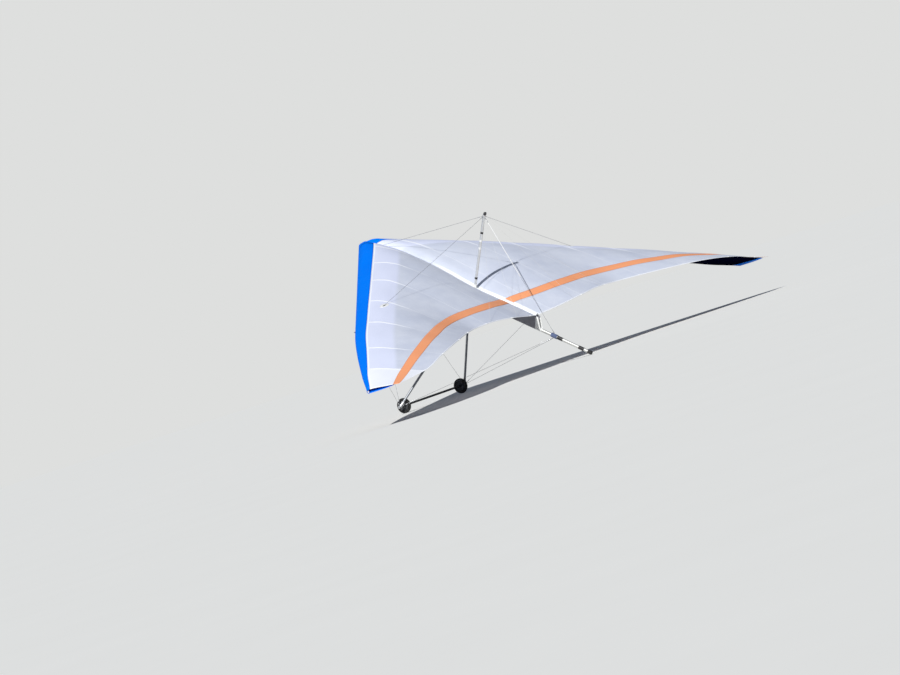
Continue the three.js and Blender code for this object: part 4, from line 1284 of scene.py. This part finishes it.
make_piece("rubber_keel_foot", turned(cap, np.zeros(3), [0, 1, 0], 40, True), black_rubber, "keel_cap")
print("keel dressed to", cap[-4][0])

# %% [markdown]
# ## Nose plates
#
# Two plates clamp the front of the keel and both leading edges. Each is cut from flat sheet, with lightening
# holes and bolts. The keel bolt has a larger head.

# %% The nose plates
PLATE = [(-0.036, -0.008), (0.036, -0.008), (0.106, 0.037), (0.098, 0.112), (0.034, 0.150), (-0.034, 0.150),
         (-0.098, 0.112), (-0.106, 0.037)]
for word, low, high, out in (("top", 0.0295, 0.0335, 1), ("bottom", -0.0273, -0.0233, -1)):
    plate = slab(PLATE, high - low, [0, 0, low], [1, 0, 0], [0, 1, 0], 0.0008,
                 holes=[(-0.030, 0.105, 0.011), (0.030, 0.105, 0.011)])
    face = high if out > 0 else low
    heads = [bolt(np.array([x, y, face]), [0, 0, out], 0.0062) for x, y in ((-0.072, 0.050), (0.072, 0.050),
                                                                          (-0.080, 0.090), (0.080, 0.090))]
    heads.append(bolt(np.array([0, 0.030, face]), [0, 0, out], 0.0075))
    make_piece(f"nose_plate_{word}_cut", together(plate, *heads), bright_metal, f"nose_plate_{word}",
               sharp=30)
print("nose plates made")

# %% [markdown]
# ## Crossbar fittings
#
# The crossbar halves meet in a hinge over the keel, and their outer ends bolt to brackets under the leading
# edges. Each fitting is a block or a plate with rounded edges and its bolts.

# %% The crossbar's hinge and brackets
hinge = block((0.0576, 0.0436, 0.0624), [0, 1.600, 0.0527], [1, 0, 0], [0, 1, 0], 0.003)
hinge_bolts = [bolt(np.array([0, 1.600, 0.0840]), [0, 0, 1], 0.0085), bolt(np.array([0, 1.578, 0.052]), [0, -1, 0], 0.006),
               bolt(np.array([0, 1.622, 0.052]), [0, 1, 0], 0.006)]
make_piece("crossbar_hinge_block", together(hinge, *hinge_bolts), bright_metal, "crossbar_hinge")
tilt = math.atan(0.0388)
for word, side in (("left", 1), ("right", -1)):
    tube_up = 0.0155 + (3.030 - 0.4) * 0.0388
    top = tube_up - 0.025 - 0.0003
    across = unit([math.cos(tilt), 0, math.sin(tilt)])
    plate = slab(rounded(0.120, 0.116, 0.016), 0.006, [3.030, 1.820, top - 0.006], across, [0, 1, 0], 0.001,
                 holes=[(0.036, -0.036, 0.009), (-0.036, 0.038, 0.009)])
    bolts = [bolt(np.array([3.030 + u, 1.820 + v, top - 0.006 + u * tilt]), [0, 0, -1], 0.007)
             for u, v in ((-0.034, -0.034), (0.036, 0.036))]
    form = together(plate, *bolts)
    make_piece(f"crossbar_bracket_plate_{word}", form if side > 0 else mirrored(form), bright_metal,
               f"crossbar_bracket_{word}")
    crossbar_a, crossbar_b, crossbar_r = bar(f"crossbar_{word}", near=[0, 1.6, 0])
    way = unit(crossbar_b - crossbar_a)
    plug = together(ring_on(crossbar_a, way, 0.006, 0.03, crossbar_r * 0.98, crossbar_r + 0.0011),
                    ring_on(crossbar_a, way, np.linalg.norm(crossbar_b - crossbar_a) - 0.05,
                            np.linalg.norm(crossbar_b - crossbar_a) - 0.004, crossbar_r * 0.98, crossbar_r + 0.0008))
    make_piece(f"crossbar_sleeves_{word}", plug, black_moulded)
print("crossbar fittings made")

# %% [markdown]
# ## Cast fittings of the control frame
#
# The apex bracket and the two corner fittings are castings: round sockets that flow into each other. Two
# crossing tubes are remeshed as one skin and then smoothed, which fills the corner between them with the soft
# radius that a casting has.


# %% Melt several closed forms into one casting
def cast(name, form, voxel, rounds, finish, stands_for):
    rough = bpy.data.meshes.new(name + "_rough")
    rough.from_pydata(parked(form[0]).tolist(), [], form[1])
    helper = bpy.data.objects.new(name + "_rough", rough)
    scene.collection.objects.link(helper)
    remesh = helper.modifiers.new("melt", "REMESH")
    remesh.mode, remesh.voxel_size = "VOXEL", voxel
    soften = helper.modifiers.new("soften", "SMOOTH")
    soften.factor, soften.iterations = 0.5, rounds
    bpy.context.view_layer.update()
    finished = bpy.data.meshes.new_from_object(helper.evaluated_get(bpy.context.evaluated_depsgraph_get()))
    bpy.data.objects.remove(helper)
    points = level(np.array([v.co for v in finished.vertices]))
    faces = [list(p.vertices) for p in finished.polygons]
    spots = points[:, :2] + points[:, 2:]
    maps = [[tuple(spots[k]) for k in face] for face in faces]
    bpy.data.meshes.remove(finished)
    print(f"{name}: cast from {len(form[1])} faces into {len(faces)}")
    return make_piece(name, (points, faces, maps, [0] * len(faces)), finish, stands_for, sharp=60)


def closed_bar(a, b, radius, sides=28, inner=0.004):
    way, long = unit(np.asarray(b) - a), np.linalg.norm(np.asarray(b) - a)
    return turned([(0, inner), (0, radius), (long, radius), (long, inner)], np.asarray(a), way, sides)


# %% The apex bracket and the corner fittings
APEX = np.array([0, 1.700, -0.052])
CORNER = np.array([0.836, 1.565, -1.475])
socket_long = 0.06
apex_block = block((0.084, 0.068, 0.0527), [0, 1.700, -0.04765], [1, 0, 0], [0, 1, 0], 0.004)
arms = [closed_bar(APEX, APEX + (CORNER * [s, 1, 1] - APEX) * socket_long, 0.0188) for s in (1, -1)]
cast("apex_casting", together(apex_block, *arms), 0.0024, 3, bright_metal, "apex_bracket")
bolts = [bolt(np.array([s * 0.0405, 1.700 + d, -0.046]), [s, 0, 0], 0.0062) for s in (1, -1) for d in (-0.016, 0.018)]
make_piece("apex_bolts", together(*bolts), dull_metal)
for word, side in (("left", 1), ("right", -1)):
    corner = CORNER * [side, 1, 1]
    up_way = unit(APEX - corner)
    low = corner + up_way * 0.074
    inner, outer = corner - [side * 0.058, 0, 0], corner + [side * 0.034, 0, 0]
    cast(f"corner_casting_{word}", together(closed_bar(corner, low, 0.0188), closed_bar(inner, outer, 0.0178)),
         0.0016, 3, bright_metal, f"corner_fitting_{word}")
    details = [ring_on(corner, up_way, 0.066, 0.0735, 0.0152, 0.0204), bolt(corner + up_way * 0.046 + [0, 0.0185, 0],
                                                                           [0, 1, 0], 0.005)]
    make_piece(f"corner_trim_{word}", together(*details), white_moulded)
    a, b, r = bar(f"wheel_collar_{word}")
    way = unit(b - a)
    stop = [(0, 0.0143), (0, r - 0.0012), (0.0012, r), (0.0048, r), (0.0054, r - 0.0012), (0.0066, r - 0.0012),
            (0.0072, r), (0.0108, r), (0.012, r - 0.0012), (0.012, 0.0143)]
    make_piece(f"wheel_stop_{word}", turned(stop, a, way, 36, True), black_moulded,
               f"wheel_collar_{word}")
foot = together(block((0.032, 0.062, 0.0207), [0, 1.747, 0.03165], [1, 0, 0], [0, 1, 0], 0.002),
                bolt(np.array([0.016, 1.747, 0.032]), [1, 0, 0], 0.005), bolt(np.array([-0.016, 1.747, 0.032]), [-1, 0, 0], 0.005))
make_piece("kingpost_foot_block", foot, bright_metal, "kingpost_foot")
bar_a, bar_b, bar_r = bar("base_bar")
smooth_bar("base_bar", "black_base_bar", black_moulded)
print("control frame made")

# %% [markdown]
# ## Wheels
#
# Each wheel turns freely on the bar. The tyre is a turned rubber ring with round shoulders and two grooves; the
# hub is moulded plastic: a thin web between the bore and the rim, stiffened by ribs on both faces.

# %% The wheels
TYRE = [(-0.0125, 0.0623), (-0.017, 0.069), (-0.0192, 0.076), (-0.0198, 0.084), (-0.0186, 0.0915), (-0.0158, 0.0962),
        (-0.0118, 0.0988), (-0.0078, 0.0998), (-0.0068, 0.0982), (-0.0052, 0.0982), (-0.0042, 0.1), (0.0042, 0.1),
        (0.0052, 0.0982), (0.0068, 0.0982), (0.0078, 0.0998), (0.0118, 0.0988), (0.0158, 0.0962), (0.0186, 0.0915),
        (0.0198, 0.084), (0.0192, 0.076), (0.017, 0.069), (0.0125, 0.0623)]
HUB = [(-0.019, 0.0144), (-0.019, 0.0225), (-0.0178, 0.0245), (-0.006, 0.0265), (-0.0035, 0.0295), (-0.0032, 0.051),
       (-0.006, 0.0545), (-0.0122, 0.0562), (-0.0135, 0.0575), (-0.0135, 0.0602), (-0.0122, 0.0618), (0.0122, 0.0618),
       (0.0135, 0.0602), (0.0135, 0.0575), (0.0122, 0.0562), (0.006, 0.0545), (0.0032, 0.051), (0.0035, 0.0295),
       (0.006, 0.0265), (0.0178, 0.0245), (0.019, 0.0225), (0.019, 0.0144)]
for word, side in (("left", 1), ("right", -1)):
    centre = CORNER * [0, 1, 1] + [side * 0.735, 0, 0]
    body = f"wheel_{word}"
    make_piece(f"grooved_tyre_{word}", turned(TYRE, centre, [1, 0, 0], 72, True), tyre_rubber,
               f"tyre_{word}", body, sharp=40)
    ribs = []
    for k in range(6):
        a = math.radians(60 * k)
        out = np.array([0, math.cos(a), math.sin(a)])
        ribs.append(block((0.018, 0.0045, 0.030), centre + out * 0.040, [1, 0, 0], np.cross(out, [1, 0, 0]), 0.001))
    make_piece(f"ribbed_hub_{word}", together(turned(HUB, centre, [1, 0, 0], 64, True), *ribs), grey_hub,
               f"hub_{word}", body, sharp=40)
print("wheels made")

# %% [markdown]
# ## Stays
#
# Ten wires hold the glider in shape: six below, from the corners of the control frame, and four above, from the
# top of the kingpost. Each wire ends in an eye round a thimble, closed by a pressed sleeve, and the eye is
# bolted to a small tang. All are drawn tight, so they are straight. The rear upper one has a pale plastic sleeve
# over its first part.


# %% One stay with its eyes, sleeves and tangs
def eye(end, way, side):
    """A teardrop of wire at the end of a stay; way points out of the stay towards its anchor."""
    other = unit(side - way * (side @ way))
    shape = [(0.046, 0.0016), (0.036, 0.0026), (0.026, 0.0052), (0.018, 0.0072), (0.011, 0.0078), (0.005, 0.0060),
             (0.0022, 0.0028), (0.0016, 0)]
    half = [(-t, s) for t, s in shape]
    path = [end + way * t + other * s for t, s in half] + [end + way * t - other * s for t, s in half[-2::-1]]
    return path, other


def stay(node, near, sideways, radius=0.0017):
    a, b, _ = bar(node, near)
    way = unit(b - a)
    wire = [tube([a + way * 0.05, *(a + (b - a) * f for f in np.linspace(0.1, 0.9, 5)), b - way * 0.05], radius, 10)]
    press, plates = [], []
    for end, out in ((a, -way), (b, way)):
        path, other = eye(end, out, np.asarray(sideways, float))
        wire.append(tube(path, radius * 0.8, 8))
        press.append(turned([(-0.07, 0.0022), (-0.069, 0.0036), (-0.066, 0.0042), (-0.050, 0.0042), (-0.047, 0.0036),
                             (-0.046, 0.0022)], end, out, 16))
        thick_way = np.cross(out, other)
        pin = end - out * 0.0105
        plates.append(turned([(-0.0042, 0.0015), (-0.0042, 0.0052), (-0.003, 0.0052), (-0.003, 0.0034), (0.003, 0.0034),
                              (0.003, 0.0052), (0.0042, 0.0052), (0.0042, 0.0015)], pin, thick_way, 16))
    return together(*wire), together(*press, *plates)


STAYS = [("side_stay_lower", [0, 1, 0]), ("front_stay_lower", [1, 0, 0]), ("rear_stay_lower", [1, 0, 0]),
         ("side_stay_upper", [0, 1, 0])]
for base, sideways in STAYS:
    for word, side in (("left", 1), ("right", -1)):
        node = f"{base}_{word}"
        near = king_top if "upper" in base else CORNER * [side, 1, 1]
        wire, ends = stay(node, near, sideways)
        make_piece(f"{node}_wire", wire, stay_wire, node)
        make_piece(f"{node}_ends", ends, bright_metal)
for node in ("front_stay_upper", "rear_stay_upper"):
    wire, ends = stay(node, king_top, [1, 0, 0])
    make_piece(f"{node}_wire", wire, stay_wire, node)
    make_piece(f"{node}_ends", ends, bright_metal)
a, b, _ = bar("rear_stay_upper", king_top)
way = unit(b - a)
sleeve = [(0.078, 0.0018), (0.078, 0.0040), (0.080, 0.0046), (0.300, 0.0046), (0.600, 0.0046), (0.898, 0.0046),
          (0.900, 0.0040), (0.900, 0.0018)]
make_piece("rear_stay_sleeve", turned(sleeve, a, way, 16, True), white_moulded)
print("stays made: 10")

# %% [markdown]
# Thin luff lines run from the kingpost to the trailing edge and hold it up in a dive. They are much thinner
# than the stays.

# %% Luff lines and batten tips
luff = []
for side in (1, -1):
    for x in (0.75, 1.45):
        rib = section(x)
        end = np.array([side * x, float(rib["edgeAft"]) - 0.012, float(sail_top(rib, rib["edgeAft"] - 0.012)) + 0.002])
        start = king_top + [side * 0.019, 0.004, -0.012]
        luff.append(tube([start + (end - start) * f for f in np.linspace(0, 1, 6)], 0.0009, 8))
make_piece("luff_lines", together(*luff), white_cord)
tips = []
for side in (1, -1):
    for x in BATTENS:
        rib = section(x)
        y = float(rib["edgeAft"])
        spot = np.array([side * x, y - 0.018, float(sail_top(rib, y - 0.018)) + 0.0035])
        end = np.array([side * x, y, float(sail_top(rib, y)) + 0.0035])
        tips.append(turned([(0, 0.001), (0.001, 0.0032), (0.012, 0.0038), (0.019, 0.0038), (0.0225, 0.0028), (0.024, 0.001)],
                           spot, end - spot, 14))
make_piece("batten_tips", together(*tips), white_moulded)
print("luff lines:", len(luff), " batten tips:", len(tips))

# %% [markdown]
# ## Floor and light
#
# A plain pale floor, a soft sun from the glider's left and behind, as in the picture, and an even pale sky.
# The camera is almost level with the floor, so floor and sky should have nearly the same tone.

# %% The floor
floor_finish, tree, shader = start_finish("pale floor", 1.0, Specular_IOR_Level=0.0)
cloud = effect(tree, patches, Place=object_place(tree), Size=1.5, Low=0.0, High=1.0)["Value"]
tree.links.new(blend_colours(tree, cloud, colour(243, 242, 236), colour(244, 243, 237)), shader["Base Color"])
rings = turned([(0, 0.01), *((0.0, r) for r in (1.0, 4.0, 12.0, 30.0, 70.0))], np.zeros(3), [0, 0, -1], 96)
floor_mesh = bpy.data.meshes.new("pale_floor")
floor_mesh.from_pydata(rings[0].tolist(), [], rings[1][:-1])
floor_mesh.materials.append(floor_finish)
floor = bpy.data.objects.new("pale_floor", floor_mesh)
scene.collection.objects.link(floor)
print("floor: 140 m across, facing", [round(v, 1) for v in floor_mesh.polygons[0].normal])

# %% The sun and the sky
SUN_WAY = unit([0.747, 0.256, 0.613])
sun = bpy.data.objects.new("sun", bpy.data.lights.new("sun", "SUN"))
sun.data.energy = 3.5
sun.data.angle = math.radians(0.6)
sun.rotation_euler = Vector(SUN_WAY).to_track_quat("Z", "Y").to_euler()
scene.collection.objects.link(sun)
world = bpy.data.worlds.new("pale sky")
world.use_nodes = True
scene.world = world
sky, sky_out = world.node_tree.nodes["Background"], world.node_tree.nodes["World Output"]
sky.inputs["Color"].default_value = colour(205, 220, 250)
sky.inputs["Strength"].default_value = 0.2
seen = put(world.node_tree, "Background", {"Color": colour(222, 223, 222), "Strength": 1.0})
camera_ray = put(world.node_tree, "LightPath").outputs["Is Camera Ray"]
both = put(world.node_tree, "MixShader", {0: camera_ray, 1: sky.outputs[0], 2: seen.outputs[0]})
world.node_tree.links.new(both.outputs[0], sky_out.inputs["Surface"])
print("sun from", SUN_WAY.round(3))

# %% [markdown]
# ## The end
#
# The count of pieces and triangles is printed.

# %% Count the pieces and finish
print("pieces:", made["pieces"], " triangles before thickness:", made["triangles"])
